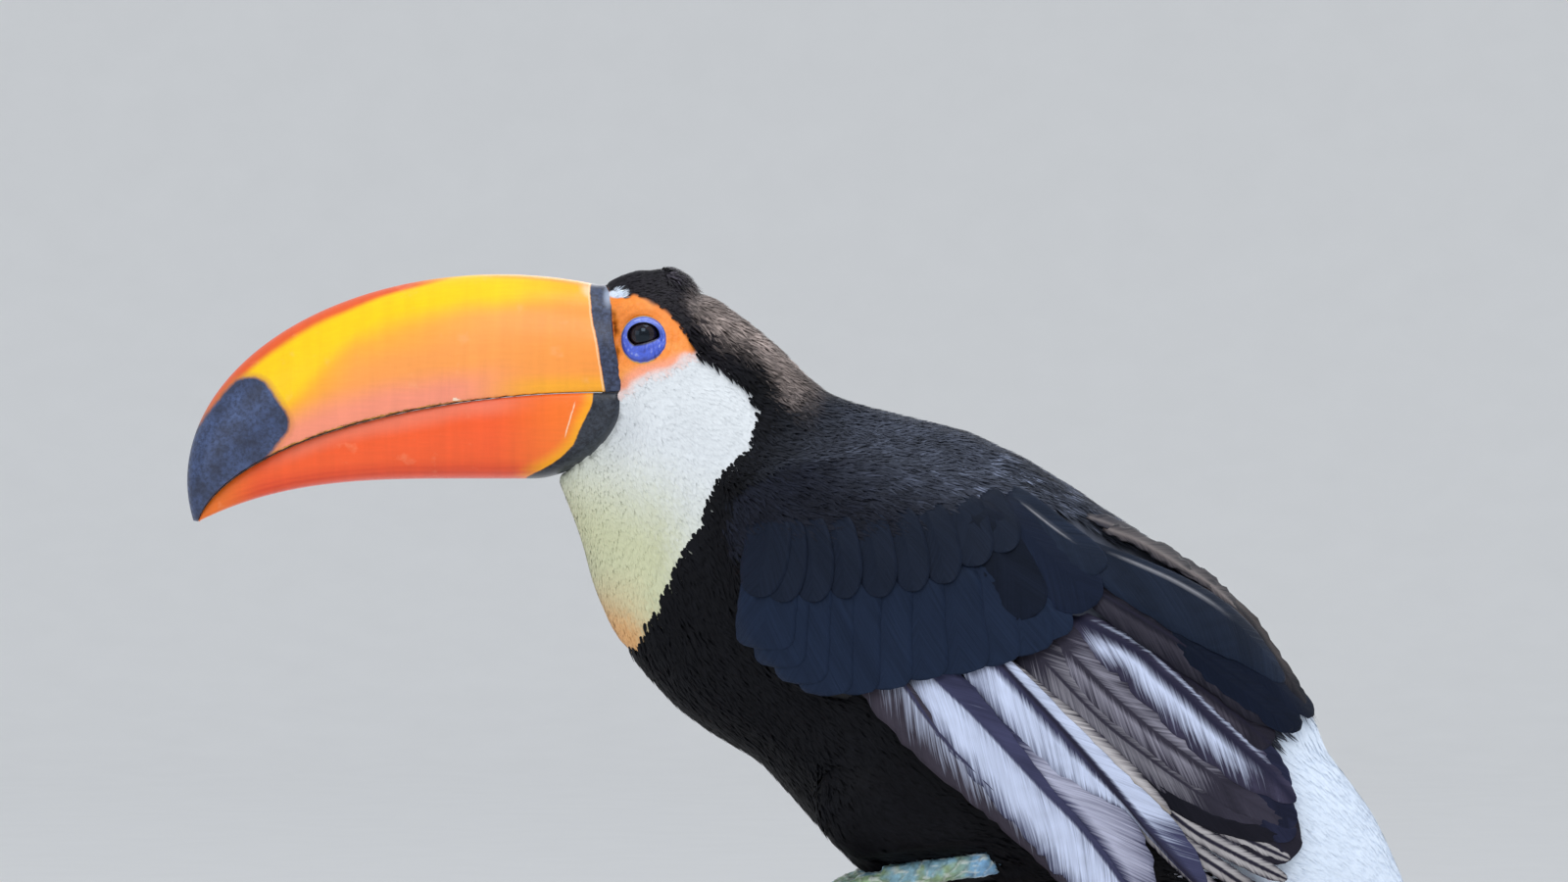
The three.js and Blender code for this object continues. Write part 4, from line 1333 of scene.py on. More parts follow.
# ---- bill ----
TIP_PATCH = [
    (-245.9, 355.0), (-240.4, 353.2), (-235.9, 347.5), (-232.1, 340.9), (-231.7, 335.3), (-237.0, 328.0),
    (-243.7, 321.0), (-251.4, 315.0), (-257.0, 309.0), (-262.0, 303.0), (-266.0, 297.0), (-273.0, 298.0),
    (-273.0, 315.0), (-271.0, 327.0), (-267.0, 335.0), (-260.5, 343.5), (-255.0, 350.0), (-250.5, 354.0),
]
UPPER_BAND = [
    (-120.9, 396.0), (-121.2, 389.6), (-121.2, 383.0), (-119.5, 371.9), (-117.4, 360.8), (-115.8, 349.7),
    (-115.5, 345.0), (-103.0, 345.0), (-101.0, 396.0),
]
LOWER_BAND = [
    (-118.2, 352.0), (-120.7, 344.2), (-124.1, 337.5), (-126.3, 332.0), (-129.6, 327.6), (-135.1, 323.1),
    (-145.1, 317.6), (-147.0, 313.0), (-130.0, 310.0), (-103.0, 325.0), (-103.0, 352.0),
]
BILL_PEACH = srgb(253, 160, 80)
BILL_ORANGE = srgb(255, 148, 34)
BILL_YELLOW = srgb(255, 205, 0)
BILL_GOLD = srgb(255, 178, 24)
BILL_PINK = srgb(247, 146, 122)
BILL_RED = srgb(233, 78, 34)
LOWER_RED = srgb(247, 94, 42)
LOWER_DEEP = srgb(222, 68, 36)
LOWER_PINK = srgb(246, 128, 98)
BILL_SCUFF = srgb(252, 216, 188)
YELLOW_EDGE = ((-250, -229, -207, -174, -140, -118), (34, 27, 16, 13, 9, 6))  # the yellow's depth at each x
RED_EDGE = ((-268, -262, -236, -200, -170), (4.2, 5.4, 6.0, 3.4, 1.0))  # the red's depth at each x


def culmen_z(x):
    """The height of the upper bill's ridge."""
    share = np.clip((x - CULMEN["x"]) / CULMEN["a"], -1, 1)
    return CULMEN["z"] + CULMEN["b"] * np.sqrt(1 - share**2)


def upper_colour(points):
    """Yellow and gold along the ridge, peach under it, pink at the mouth, and red at the ridge's front."""
    x, z = points[:, 0], points[:, 2]
    soft = noise(points, 14, 61)
    deep = culmen_z(x) - z + 1.2 * soft
    high = z - mouth_z(x) + 1.2 * soft
    colour = np.tile(BILL_PEACH, (len(points), 1))
    colour = blend_colours(colour, BILL_ORANGE, ramp(x, -165, -122) * 0.3)
    edge = np.interp(x, *YELLOW_EDGE)
    gold = (1 - ramp(deep, edge, edge + 16)) * ramp(-x, 130, 200)
    colour = blend_colours(colour, BILL_GOLD, 0.75 * gold)
    yellow = mix(BILL_YELLOW, BILL_GOLD, ramp(x, -160, -118)[:, None])
    colour = blend_colours(colour, yellow, 1 - ramp(deep, edge - 5, edge + 5))
    pink = (1 - ramp(high, 4, 15)) * ramp(-x, 140, 175) * (1 - ramp(-x, 232, 246))
    colour = blend_colours(colour, BILL_PINK, 0.9 * pink)
    rear = (1 - ramp(high, 2, 9)) * ramp(x, -165, -135)
    colour = blend_colours(colour, BILL_GOLD, 0.75 * rear)
    red_depth = np.interp(x, *RED_EDGE)
    red = 1 - ramp(deep - 0.6 * soft, red_depth * 0.6, red_depth * 1.25)
    colour = blend_colours(colour, BILL_RED, 0.95 * red * ramp(-x, 165, 190))
    scuff = 1 - ramp(oval(points, SCUFF, (2.2, 4.0)) + 0.4 * soft, 0.4, 1.2)
    colour = blend_colours(colour, BILL_SCUFF, 0.6 * scuff)
    return blend_colours(colour, BILL_ORANGE, (1 - ramp(deep, 0.3, 1.6)) * ramp(x, -190, -160) * 0.6)


def lower_colour(points):
    """Red, with pink at the mouth, gold in front of the black band, and deep red stripes under the front."""
    x, z = points[:, 0], points[:, 2]
    soft = noise(points, 12, 62)
    under = mouth_z(x) - z + 1.0 * soft
    left = z - gonys_z(x)
    colour = np.tile(LOWER_RED, (len(points), 1))
    pink = (1 - ramp(under, 2, 9)) * ramp(-x, 135, 160) * (1 - ramp(-x, 225, 245))
    colour = blend_colours(colour, LOWER_PINK, 0.85 * pink)
    colour = blend_colours(colour, BILL_ORANGE, 0.4 * ramp(x, -160, -128))
    gold = 1 - ramp(signed_distance(x, z, LOWER_BAND), 0.3, 5.5)
    colour = blend_colours(colour, BILL_GOLD, 0.8 * gold)
    stripes = 0.5 + 0.5 * np.sin(left * 3.4 + 1.2 * soft)
    deep = (1 - ramp(left, 2.0, 8)) * (0.55 + 0.35 * stripes) * (1 - ramp(x, -150, -135))
    colour = blend_colours(colour, LOWER_DEEP, deep)
    return blend_colours(colour, BILL_ORANGE, 0.5 * ramp(-x, 240, 262))


def frayed(tree, value, grain, reach, low=0.3, high=0.7):
    """A value with a noise of this reach added to it."""
    return math_node(tree, "ADD", value, stretch(tree, grain, low, high, -reach, reach))


def bill_material(name, with_tip):
    """Glossy horn: painted colours, and sharp black patches cut from distances with a little noise."""
    material, tree, shader = new_material(name, 0.34, Coat_Weight=0.08, Coat_Roughness=0.2)
    shader.inputs["Specular IOR Level"].default_value = 0.3
    where = place_on(tree)
    fine = noise_on(tree, where, 700, 5, 0.65)
    broad = noise_on(tree, where, 110, 4, 0.55)
    bands = noise_on(tree, place_on(tree, (1, 0.08, 0.1), (0, 0.25, 0)), 260, 4, 0.6)
    hair = noise_on(tree, place_on(tree, (0.12, 1, 1)), 900, 4, 0.6)
    colour = shaded(tree, painted(tree), (bands, 0.955, 1.035), (hair, 0.97, 1.03))
    colour = mixed(tree, stretch(tree, broad, 0.62, 0.72, 0, 0.16), colour, srgb(255, 196, 150))
    worn = stretch(tree, frayed(tree, number_of(tree, "edge"), fine, 0.35), 0.25, 0.75, 1, 0)
    worn = math_node(tree, "MULTIPLY", worn, number_of(tree, "serrated"))
    worn_colour = mixed(tree, stretch(tree, hair, 0.4, 0.6), srgb(126, 78, 30), srgb(214, 158, 70))
    colour = mixed(tree, worn, colour, worn_colour)
    chip = stretch(tree, frayed(tree, number_of(tree, "chip"), fine, 0.25), 0.8, 1.05, 0.85, 0)
    colour = mixed(tree, chip, colour, srgb(250, 232, 205))
    across = math_node(tree, "ABSOLUTE", number_of(tree, "scratch"), 0.0)
    line = stretch(tree, frayed(tree, across, fine, 0.12), 0.1, 0.3, 0.8, 0)
    line = math_node(tree, "MULTIPLY", line, number_of(tree, "scratched"))
    colour = mixed(tree, line, colour, srgb(250, 215, 180))
    ragged = frayed(tree, stretch(tree, broad, 0.2, 0.8, -0.7, 0.7), fine, 0.35, 0.2, 0.8)
    band = math_node(tree, "ADD", number_of(tree, "band"), math_node(tree, "MULTIPLY", ragged, 0.45))
    from_rim = math_node(tree, "ABSOLUTE", math_node(tree, "SUBTRACT", band, 0.55), 0.0)
    rim = math_node(tree, "MULTIPLY", stretch(tree, from_rim, 0.15, 0.5, 0.5, 0), number_of(tree, "rimmed"))
    colour = mixed(tree, rim, colour, srgb(255, 222, 180))
    dim, bright = (srgb(38, 43, 62), srgb(70, 82, 112)) if with_tip else (srgb(32, 36, 44), srgb(60, 66, 78))
    slate = mixed(tree, stretch(tree, fine, 0.4, 0.66), dim, bright)
    slate = mixed(tree, stretch(tree, hair, 0.45, 0.7, 0, 0.5), slate, mix(dim, bright, 0.35))
    slate = mixed(tree, number_of(tree, "glint"), slate, srgb(176, 188, 210))
    colour = mixed(tree, stretch(tree, band, -0.2, 0.25, 1, 0), colour, slate)
    if with_tip:
        tip = math_node(tree, "ADD", number_of(tree, "tip"), ragged)
        faint = stretch(tree, tip, -0.4, 2.4, 0.75, 0)
        colour = mixed(tree, faint, colour, srgb(196, 120, 66))
        tip_slate = mixed(tree, stretch(tree, broad, 0.35, 0.65), srgb(52, 60, 84), srgb(74, 92, 134))
        tip_slate = mixed(tree, stretch(tree, fine, 0.42, 0.62, 0, 0.7), tip_slate, srgb(40, 46, 66))
        colour = mixed(tree, stretch(tree, tip, -0.9, 0.5, 1, 0), colour, tip_slate)
        keel = stretch(tree, number_of(tree, "keel"), 0.35, 0.9, 0.9, 0)
        keel_colour = mixed(tree, stretch(tree, hair, 0.4, 0.6), srgb(205, 120, 70), srgb(176, 160, 150))
        colour = mixed(tree, keel, colour, keel_colour)
    set_base(tree, shader, colour)
    tree.links.new(spread(tree, fine, 0.28, 0.42), shader.inputs["Roughness"])
    band_height, hair_height = math_node(tree, "MULTIPLY", bands, 1.2), math_node(tree, "MULTIPLY", hair, 0.6)
    bump(tree, shader, math_node(tree, "ADD", band_height, hair_height), 0.16, 0.5)
    return material


SCRATCH = ((-126.3, 345.0), (-131.0, 332.5))  # its two ends
CHIP = (-170.2, 347.0)
GLINT = (-114.6, 384.5)
SCUFF = (-122.4, 387.5)


def make_bill_piece(name, shape, painter, band, with_tip):
    """One half of the bill, with the numbers that its material reads for its marks."""
    vertices, faces = shape
    piece = make_mesh(name, vertices, faces)
    x, z = vertices[:, 0], vertices[:, 2]
    set_colours(piece, painter(vertices))
    set_numbers(piece, "band", signed_distance(x, z, band))
    set_numbers(piece, "rimmed", ramp(z, 300, 355) * (1.0 if with_tip else 0.0))
    set_numbers(piece, "edge", np.abs(z - mouth_z(x)))
    set_numbers(piece, "serrated", ramp(-x, 140, 185) * (1 - ramp(-x, 262, 268)))
    set_numbers(piece, "glint", 0.7 * (1 - ramp(oval(vertices, GLINT, (2.6, 5.5)), 0.1, 1.1)))
    set_numbers(piece, "chip", oval(vertices, CHIP, (2.2, 0.95)))
    (ax, az), (bx, bz) = SCRATCH
    length = math.hypot(bx - ax, bz - az)
    along = ((x - ax) * (bx - ax) + (z - az) * (bz - az)) / length
    across = ((x - ax) * (bz - az) - (z - az) * (bx - ax)) / length + 0.9 * noise(vertices, 4.5, 63)
    set_numbers(piece, "scratch", across)
    within = ramp(along, -1, 1) * (1 - ramp(along, length - 2, length))
    set_numbers(piece, "scratched", within * (vertices[:, 1] < 0))
    if with_tip:
        set_numbers(piece, "tip", signed_distance(x, z, TIP_PATCH))
        keel = np.abs(vertices[:, 1]) + 3 * (1 - ramp(-x, 246, 256))
        set_numbers(piece, "keel", np.where(x < -235, keel, 5.0))
    return piece


bill_upper = make_bill_piece("bill_upper_horn", upper_shape, upper_colour, UPPER_BAND, True)
wear(bill_upper, bill_material("horn_upper", True))
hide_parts("bill_upper")
bill_lower = make_bill_piece("bill_lower_horn", lower_shape, lower_colour, LOWER_BAND, False)
wear(bill_lower, bill_material("horn_lower", False))
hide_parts("bill_lower")


# ---- eyes ----
EYE_FLAT = 0.94  # how wide the ball is in side view, as a share of its depth
EYE_RINGS, EYE_ROUND = 40, 64


def eyeball(side):
    """A closed ball with a slightly raised cornea."""
    turn = np.linspace(0.0, np.pi, EYE_RINGS)[:, None]
    around = np.linspace(0, 2 * np.pi, EYE_ROUND, endpoint=False)[None, :]
    r = EYE["radius"] + 0.35 * bump_at(turn, 0, 0.55)
    flat = EYE_FLAT * r * np.sin(turn)
    x = EYE["x"] + 0.4 + flat * np.cos(around)
    z = EYE["z"] + flat * np.sin(around)
    y = side * (EYE["y"] + r * np.cos(turn) + 0 * around)
    vertices, faces = tube_mesh(np.stack([x, y, z], -1)[1:-1])
    return vertices, outward(vertices, faces)


OPENING_CENTRE = (-101.7, 370.1)
OPENING = (5.7, 4.4)


def lid_opening(angle):
    """The rim of the eye's opening: round above, with a straighter lower lid that slants up to the rear."""
    x = OPENING_CENTRE[0] + OPENING[0] * np.cos(angle)
    z = OPENING_CENTRE[1] + OPENING[1] * np.sin(angle)
    chord = OPENING_CENTRE[1] - 2.5 + 0.35 * (x - OPENING_CENTRE[0])
    return x, np.where(z < chord, mix(z, chord, 0.72), z)


LID_ROUND, LID_STEPS, LID_UNDER_STEPS = 140, 30, 8


def lids(side, seed):
    """The wrinkled ring of lids, a closed band from the skin over the eyeball's edge and back under.

    It comes with each vertex's share of the way inwards and the height of its wrinkles.
    """
    angle = np.linspace(0, 2 * np.pi, LID_ROUND, endpoint=False)
    inner_x, inner_z = lid_opening(angle)
    outer_x = LID_CENTRE[0] + LID_OUTER[0] * np.cos(angle) - 0.8 * np.clip(-np.sin(angle), 0, 1) ** 2
    outer_z = LID_CENTRE[1] + LID_OUTER[1] * np.sin(angle)
    away = np.hypot(inner_x - EYE["x"], inner_z - EYE["z"])
    ball = EYE["y"] + np.sqrt(np.maximum((EYE["radius"] + 0.5) ** 2 - away**2, 1.0))
    base = np.array([half_width_at(skin_tree, x, z, side) for x, z in zip(outer_x, outer_z)])
    foot = base - 1.0
    base = np.maximum(base, base.mean() - 1.0)
    rows = []
    depths = []
    for s in np.linspace(0, 1, LID_STEPS):
        x, z = mix(outer_x, inner_x, s), mix(outer_z, inner_z, s)
        lift = mix(base - 0.35, ball + 0.15, s**0.85) + 1.0 * np.sin(np.pi * s**0.8) ** 0.8
        reach = (EYE["radius"] + 0.9) ** 2 - (x - EYE["x"]) ** 2 - (z - EYE["z"]) ** 2
        lift = np.where(s < 0.9, np.maximum(lift, EYE["y"] + np.sqrt(np.maximum(reach, 0))), lift)
        spots = np.stack([5.0 * np.cos(angle), 5.0 * np.sin(angle), 0 * angle + 2.2 * s + 10 * side], -1)
        ring_fold = 0.08 * np.sin(s * 17 + 1.6 * noise(spots, 2.2, 70 + seed)) * np.sin(np.pi * s)
        spoke = 0.2 * noise(spots * np.array((1, 1, 0.8)), 0.55, 71 + seed) * np.sin(np.pi * s) ** 0.7
        rows.append(np.stack([x, side * (lift + ring_fold + spoke), z], -1))
        depths.append(ring_fold + spoke)
    for s in np.linspace(1, 0, LID_UNDER_STEPS):
        x, z = mix(outer_x, inner_x, s * 0.96), mix(outer_z, inner_z, s * 0.96)
        rows.append(np.stack([x, side * mix(np.minimum(base - 1.8, foot), ball - 0.7, s), z], -1))
        depths.append(0 * angle)
    rings = np.array(rows)
    faces = grid_faces(len(rings) + 1, LID_ROUND, True) % (len(rings) * LID_ROUND)
    shares = np.concatenate([np.linspace(0, 1, LID_STEPS), np.linspace(1, 0, LID_UNDER_STEPS)])
    if side > 0:
        faces = faces[:, ::-1]
    return rings.reshape(-1, 3), faces, np.repeat(shares, LID_ROUND), np.array(depths).ravel()


def lid_material():
    material, tree, shader = new_material("lid_blue", 0.38, Coat_Weight=0.2, Coat_Roughness=0.25)
    fine = noise_on(tree, place_on(tree), 1900, 4, 0.6)
    set_base(tree, shader, shaded(tree, painted(tree), (fine, 0.85, 1.15)))
    bump(tree, shader, fine, 0.08, 0.5)
    return material


def eye_material():
    """A black pupil in a dark brown iris, with a blue black rim."""
    material, tree, shader = new_material(
        "eye_dark", 0.05, Specular_IOR_Level=0.42, Specular_Tint=(0.6, 0.78, 1.0, 1),
    )
    rays = noise_on(tree, place_on(tree), 1400, 4, 0.7)
    away = frayed(tree, number_of(tree, "away"), rays, 0.3)
    iris = mixed(tree, stretch(tree, rays, 0.35, 0.65), srgb(16, 10, 12), srgb(46, 28, 22))
    colour = mixed(tree, stretch(tree, away, 2.5, 2.9), srgb(4, 4, 6), iris)
    colour = mixed(tree, stretch(tree, away, 4.2, 4.8), colour, srgb(14, 14, 24))
    set_base(tree, shader, colour)
    return material


LID_MID = srgb(66, 92, 206)
LID_PALE = srgb(132, 152, 230)
LID_PAINTED_HIGHLIGHT = srgb(190, 204, 248)
LID_DEEP = srgb(42, 52, 138)
LID_EDGE = srgb(22, 20, 44)
LID_GOLD = srgb(196, 160, 70)
EYE_DARK = eye_material()
LID_BLUE = lid_material()
PUPIL = (OPENING_CENTRE[0] - 0.2, OPENING_CENTRE[1] - 0.3)


def lid_colour(points, share, depth):
    """Blue, lighter above, with a painted highlight on the folds and painted shade in their furrows, dark at
    the opening and gold at the outer rim.
    """
    spot = noise(points, 1.3, 72)
    high = ramp(points[:, 2], LID_CENTRE[1] - 2, LID_CENTRE[1] + 8)
    blue = blend_colours(np.tile(LID_MID, (len(points), 1)), LID_PALE, 0.5 * high)
    # painted highlight on the raised folds
    blue = blend_colours(blue, LID_PAINTED_HIGHLIGHT, 0.5 * ramp(0.4 * spot + 6 * depth, 0.3, 1.5))
    # painted shade in the furrows between the folds
    blue = blend_colours(blue, LID_DEEP, 0.7 * ramp(-0.4 * spot - 6 * depth, 0.3, 1.3))
    blue = blend_colours(blue, LID_DEEP, 0.9 * bump_at(share, 0.17, 0.06))
    blue = blend_colours(blue, LID_EDGE, ramp(share, 0.86, 0.95))
    return blend_colours(blue, LID_GOLD, 1 - ramp(share + 0.03 * spot, 0.06, 0.13))


for side_name, side in SIDES:
    ball_vertices, ball_faces = eyeball(side)
    ball = make_mesh(f"eyeball_{side_name}", ball_vertices, ball_faces)
    set_numbers(ball, "away", oval(ball_vertices, PUPIL, (1, 1)))
    wear(ball, EYE_DARK)
    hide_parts(f"eye_{side_name}")
    lid_vertices, lid_faces, lid_share, lid_depth = lids(side, 3 if side > 0 else 0)
    lid = make_mesh(f"eyelids_{side_name}", lid_vertices, lid_faces)
    set_colours(lid, lid_colour(lid_vertices, lid_share, lid_depth))
    wear(lid, LID_BLUE)


# ---- claws ----
def claw_material():
    material, tree, shader = new_material("claw_horn", 0.32, Coat_Weight=0.3, Coat_Roughness=0.15)
    fibres = noise_on(tree, place_on(tree, (1, 0.25, 1)), 900, 4, 0.6)
    colour = mixed(tree, stretch(tree, fibres, 0.35, 0.65), srgb(40, 40, 44), srgb(96, 94, 96))
    set_base(tree, shader, colour)
    bump(tree, shader, fibres, 0.08, 0.6)
    return material


CLAW_HORN = claw_material()
for side_name, _ in SIDES:
    nodes = [f"claw_{side_name}_{k}" for k in (1, 2, 3, 4)]
    claw_vertices, claw_faces = voxel_shell(nodes, 0.32, 0.12)
    piece = make_mesh(f"claws_{side_name}", smoothed(claw_vertices, claw_faces, 3), triangles(claw_faces))
    wear(piece, CLAW_HORN)
    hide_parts(*nodes)


# ---- perch and stand ----
PERCH_RINGS, PERCH_ROUND, PERCH_END_RINGS = 200, 150, 16
PITH = (PERCH["x"] + 0.6, PERCH["z"] - 0.4)  # the middle of the growth rings
END_CRACKS = (0.5, 1.9, 3.4, 5.1)  # the directions of the cracks in the cut ends


def make_perch():
    """A cut length of branch, with knots, ridged bark and rings on its ends."""
    y = np.linspace(-0.5, 0.5, PERCH_RINGS) * PERCH["length"]
    around = np.linspace(0, 2 * np.pi, PERCH_ROUND, endpoint=False)
    along, turn = np.meshgrid(y, around, indexing="ij")
    knot = bump_at(along, 4, 11) * np.maximum(0, np.cos(turn + 2.2)) * 1.6
    uneven = 0.45 + 0.45 * np.sin(3 * turn + along * 0.03) + 0.3 * (1 + np.sin(along * 0.11 + turn))
    r = PERCH["radius"] - uneven + knot
    spots = np.stack([np.sin(turn) * 15, along * 0.28, np.cos(turn) * 15], -1).reshape(-1, 3)
    ridge = noise(spots, 2.1, 81) + 0.5 * noise(spots, 0.9, 82)
    crack = -np.abs(noise(spots, 3.4, 83))
    r = r + (0.22 * ridge + 0.3 * crack - 0.05).reshape(r.shape)
    chamfer = np.minimum(PERCH["length"] / 2 - np.abs(along), 1.2) / 1.2
    r = r - 0.8 * (1 - chamfer)
    bark = np.stack([PERCH["x"] + r * np.sin(turn), along, PERCH["z"] + r * np.cos(turn)], -1)
    ends = []
    for end in (0, -1):
        centre = np.array((PITH[0], y[end], PITH[1]))
        ends.append(np.array([mix(centre, bark[end], s) for s in np.linspace(0.97, 0.06, PERCH_END_RINGS)]))
    vertices, faces = tube_mesh(np.concatenate([ends[0][::-1], bark, ends[1]]))
    piece = make_mesh("perch_branch", vertices, outward(vertices, faces))
    cut = np.concatenate([np.ones(PERCH_END_RINGS), np.zeros(PERCH_RINGS), np.ones(PERCH_END_RINGS)])
    set_numbers(piece, "cut", np.concatenate([cut.repeat(PERCH_ROUND), [1, 1]]))
    across, up = vertices[:, 0] - PITH[0], vertices[:, 2] - PITH[1]
    away = np.hypot(across, up)
    set_numbers(piece, "away", away)
    gaps = np.array([np.arctan2(up, across) - crack_turn for crack_turn in END_CRACKS])
    beside = away * np.abs((gaps + np.pi) % (2 * np.pi) - np.pi) + 0.5 * noise(vertices, 2.0, 84)
    set_numbers(piece, "crack", 1 - ramp(beside.min(0) - 0.02 * away, 0.0, 0.45))
    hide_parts("perch")
    return piece


def bark_material():
    """Grey brown bark with lichen, and pale wood with rings and cracks where the branch is cut."""
    material, tree, shader = new_material("bark_grey", 0.85)
    where = place_on(tree, (1, 0.3, 1))
    broad = noise_on(tree, where, 70, 5, 0.6)
    fine = noise_on(tree, where, 520, 6, 0.7)
    lichen = noise_on(tree, place_on(tree), 95, 5, 0.65)
    bark = mixed(tree, spread(tree, fine, 0, 1), srgb(84, 72, 60), srgb(160, 148, 132))
    bark = mixed(tree, stretch(tree, broad, 0.35, 0.65, 0, 0.6), bark, srgb(118, 100, 80))
    bark = mixed(tree, stretch(tree, lichen, 0.58, 0.68, 0, 0.75), bark, srgb(158, 168, 146))
    uneven = noise_on(tree, place_on(tree), 60, 3, 0.5)
    away = frayed(tree, number_of(tree, "away"), uneven, 2.2, 0.2, 0.8)
    ring = add_node(tree, "Math", {0: math_node(tree, "MULTIPLY", away, 4.6)}, operation="SINE").outputs[0]
    wood = mixed(tree, stretch(tree, ring, 0.2, 1), srgb(206, 176, 130), srgb(172, 138, 96))
    wood = mixed(tree, stretch(tree, fine, 0.35, 0.7, 0, 0.35), wood, srgb(150, 116, 78))
    wood = mixed(tree, number_of(tree, "crack"), wood, srgb(74, 52, 36))
    colour = mixed(tree, number_of(tree, "cut"), bark, wood)
    set_base(tree, shader, colour)
    bump(tree, shader, math_node(tree, "ADD", broad, fine), 0.35, 0.7)
    return material


wear(make_perch(), bark_material())


def wood_material():
    material, tree, shader = new_material("stand_oak", 0.42, Coat_Weight=0.3, Coat_Roughness=0.25)
    where = place_on(tree, (0.12, 1, 1))
    grain = noise_on(tree, where, 150, 6, 0.65)
    pores = noise_on(tree, place_on(tree, (0.05, 1, 1)), 900, 4, 0.7)
    waves = {"Vector": where, "Scale": 9.0, "Distortion": 7.0, "Detail": 4.0, "Detail Scale": 1.6}
    rings = add_node(tree, "TexWave", waves, wave_type="BANDS", bands_direction="Y").outputs["Fac"]
    colour = mixed(tree, rings, srgb(96, 62, 38), srgb(142, 98, 62))
    colour = mixed(tree, stretch(tree, grain, 0.35, 0.65, 0, 0.5), colour, srgb(74, 46, 28))
    colour = mixed(tree, stretch(tree, pores, 0.6, 0.7, 0, 0.6), colour, srgb(50, 31, 20))
    set_base(tree, shader, colour)
    bump(tree, shader, pores, 0.1, 0.4)
    return material


def steel_material():
    material, tree, shader = new_material("stand_steel", 0.28, Metallic=1.0)
    brushed = noise_on(tree, place_on(tree, (1, 1, 0.04)), 1500, 4, 0.6)
    set_base(tree, shader, mixed(tree, spread(tree, brushed, 0, 1), srgb(150, 152, 156), srgb(196, 198, 202)))
    tree.links.new(spread(tree, brushed, 0.22, 0.36), shader.inputs["Roughness"])
    bump(tree, shader, brushed, 0.04, 0.4)
    return material


def dress(node_name, material):
    """Gives a CAD node that stays in sight its material."""
    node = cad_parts[node_name]
    node.data.materials.clear()
    node.data.materials.append(material)


dress("stand_base", wood_material())
STEEL = steel_material()
for side_name, _ in SIDES:
    dress(f"stand_rod_{side_name}", STEEL)


# ---- wings ----
WING_MAP_LOW, WING_MAP_STEP, WING_MAP_SIZE = np.array((-90.0, 120.0)), 1.5, (170, 150)
WING_OUT = 200.0  # farther out than any part of the wings


def shifted(grid):
    """A grid and its shifts by one place forwards and backwards along both axes."""
    return [np.roll(grid, step, axis) for step in (1, 0, -1) for axis in (0, 1)]


def side_surface():
    """How far out from the middle the wing's outer surface lies, on a grid over the side view."""
    found = np.full(WING_MAP_SIZE, np.nan)
    for place in np.ndindex(*WING_MAP_SIZE):
        x, z = WING_MAP_LOW + WING_MAP_STEP * np.array(place)
        hit = guide_tree.ray_cast(Vector((x, -WING_OUT, z)), Vector((0, 1, 0)), WING_OUT - 1)[0]
        if hit is not None:
            found[place] = -hit[1]
    for _ in range(40):
        around = np.stack([np.roll(found, step, axis) for step in (1, -1) for axis in (0, 1)])
        known = ~np.isnan(around)
        mean = np.where(known, around, 0).sum(0) / np.maximum(known.sum(0), 1)
        found = np.where(np.isnan(found) & known.any(0), mean, found)
    raised = np.nan_to_num(found, nan=20.0)
    for _ in range(2):
        raised = np.max(shifted(raised), axis=0)
    for _ in range(6):
        raised = np.mean(shifted(raised), axis=0)
    return raised[..., None]


SIDE_SURFACE = side_surface()


class Vane:
    """A flat feather on the left wing, drawn in side view along its shaft from root to tip.

    low and high are its half widths below and above the shaft, each one width or several from root to tip,
    lift its height over the wing at root and tip, tilt how much higher its upper edge lies than its lower,
    rows the number of its rings, arch its height in the middle, fray how deep its edge is notched, blunt the
    roundness of its tip, which begins at the share tip_from, root its width at the root as a share, and
    paint(t, a, u, spots) gives its colours.
    """

    def __init__(self, shaft, low, high, lift, paint, tilt=0.0, rows=16, arch=0.4, fray=0.12, blunt=2.4,
                 tip_from=0.72, root=0.45):
        self.shaft, self.low, self.high, self.lift, self.paint = shaft, low, high, lift, paint
        self.tilt, self.rows, self.arch, self.fray = tilt, rows, arch, fray
        self.blunt, self.tip_from, self.root = blunt, tip_from, root


def widths_at(widths, t):
    widths = np.atleast_1d(widths)
    return np.interp(t, np.linspace(0, 1, len(widths)), widths)[:, None]


ACROSS = np.array((-1, -0.8, -0.55, -0.3, -0.08, 0.0, 0.08, 0.3, 0.55, 0.8, 1.0))
RACHIS = 0.5
BARB_SLANT = 1.8  # how far a barb runs along the shaft for each step away from it
ROOT_DIP = 3.0  # how far the root of a feather dives under those before it


def both_faces(top, under):
    """Closed rings from a vane's upper and its lower face, or their values."""
    return np.concatenate([top, under[:, ::-1]], 1)


def vane_spots(run, a, apart):
    """Places for noise, run along the vane, and far apart for other vanes and for the shaft's two sides."""
    return np.stack([run + 0 * a, apart + 0 * a, 31.0 * np.sign(a)], -1).reshape(-1, 3)


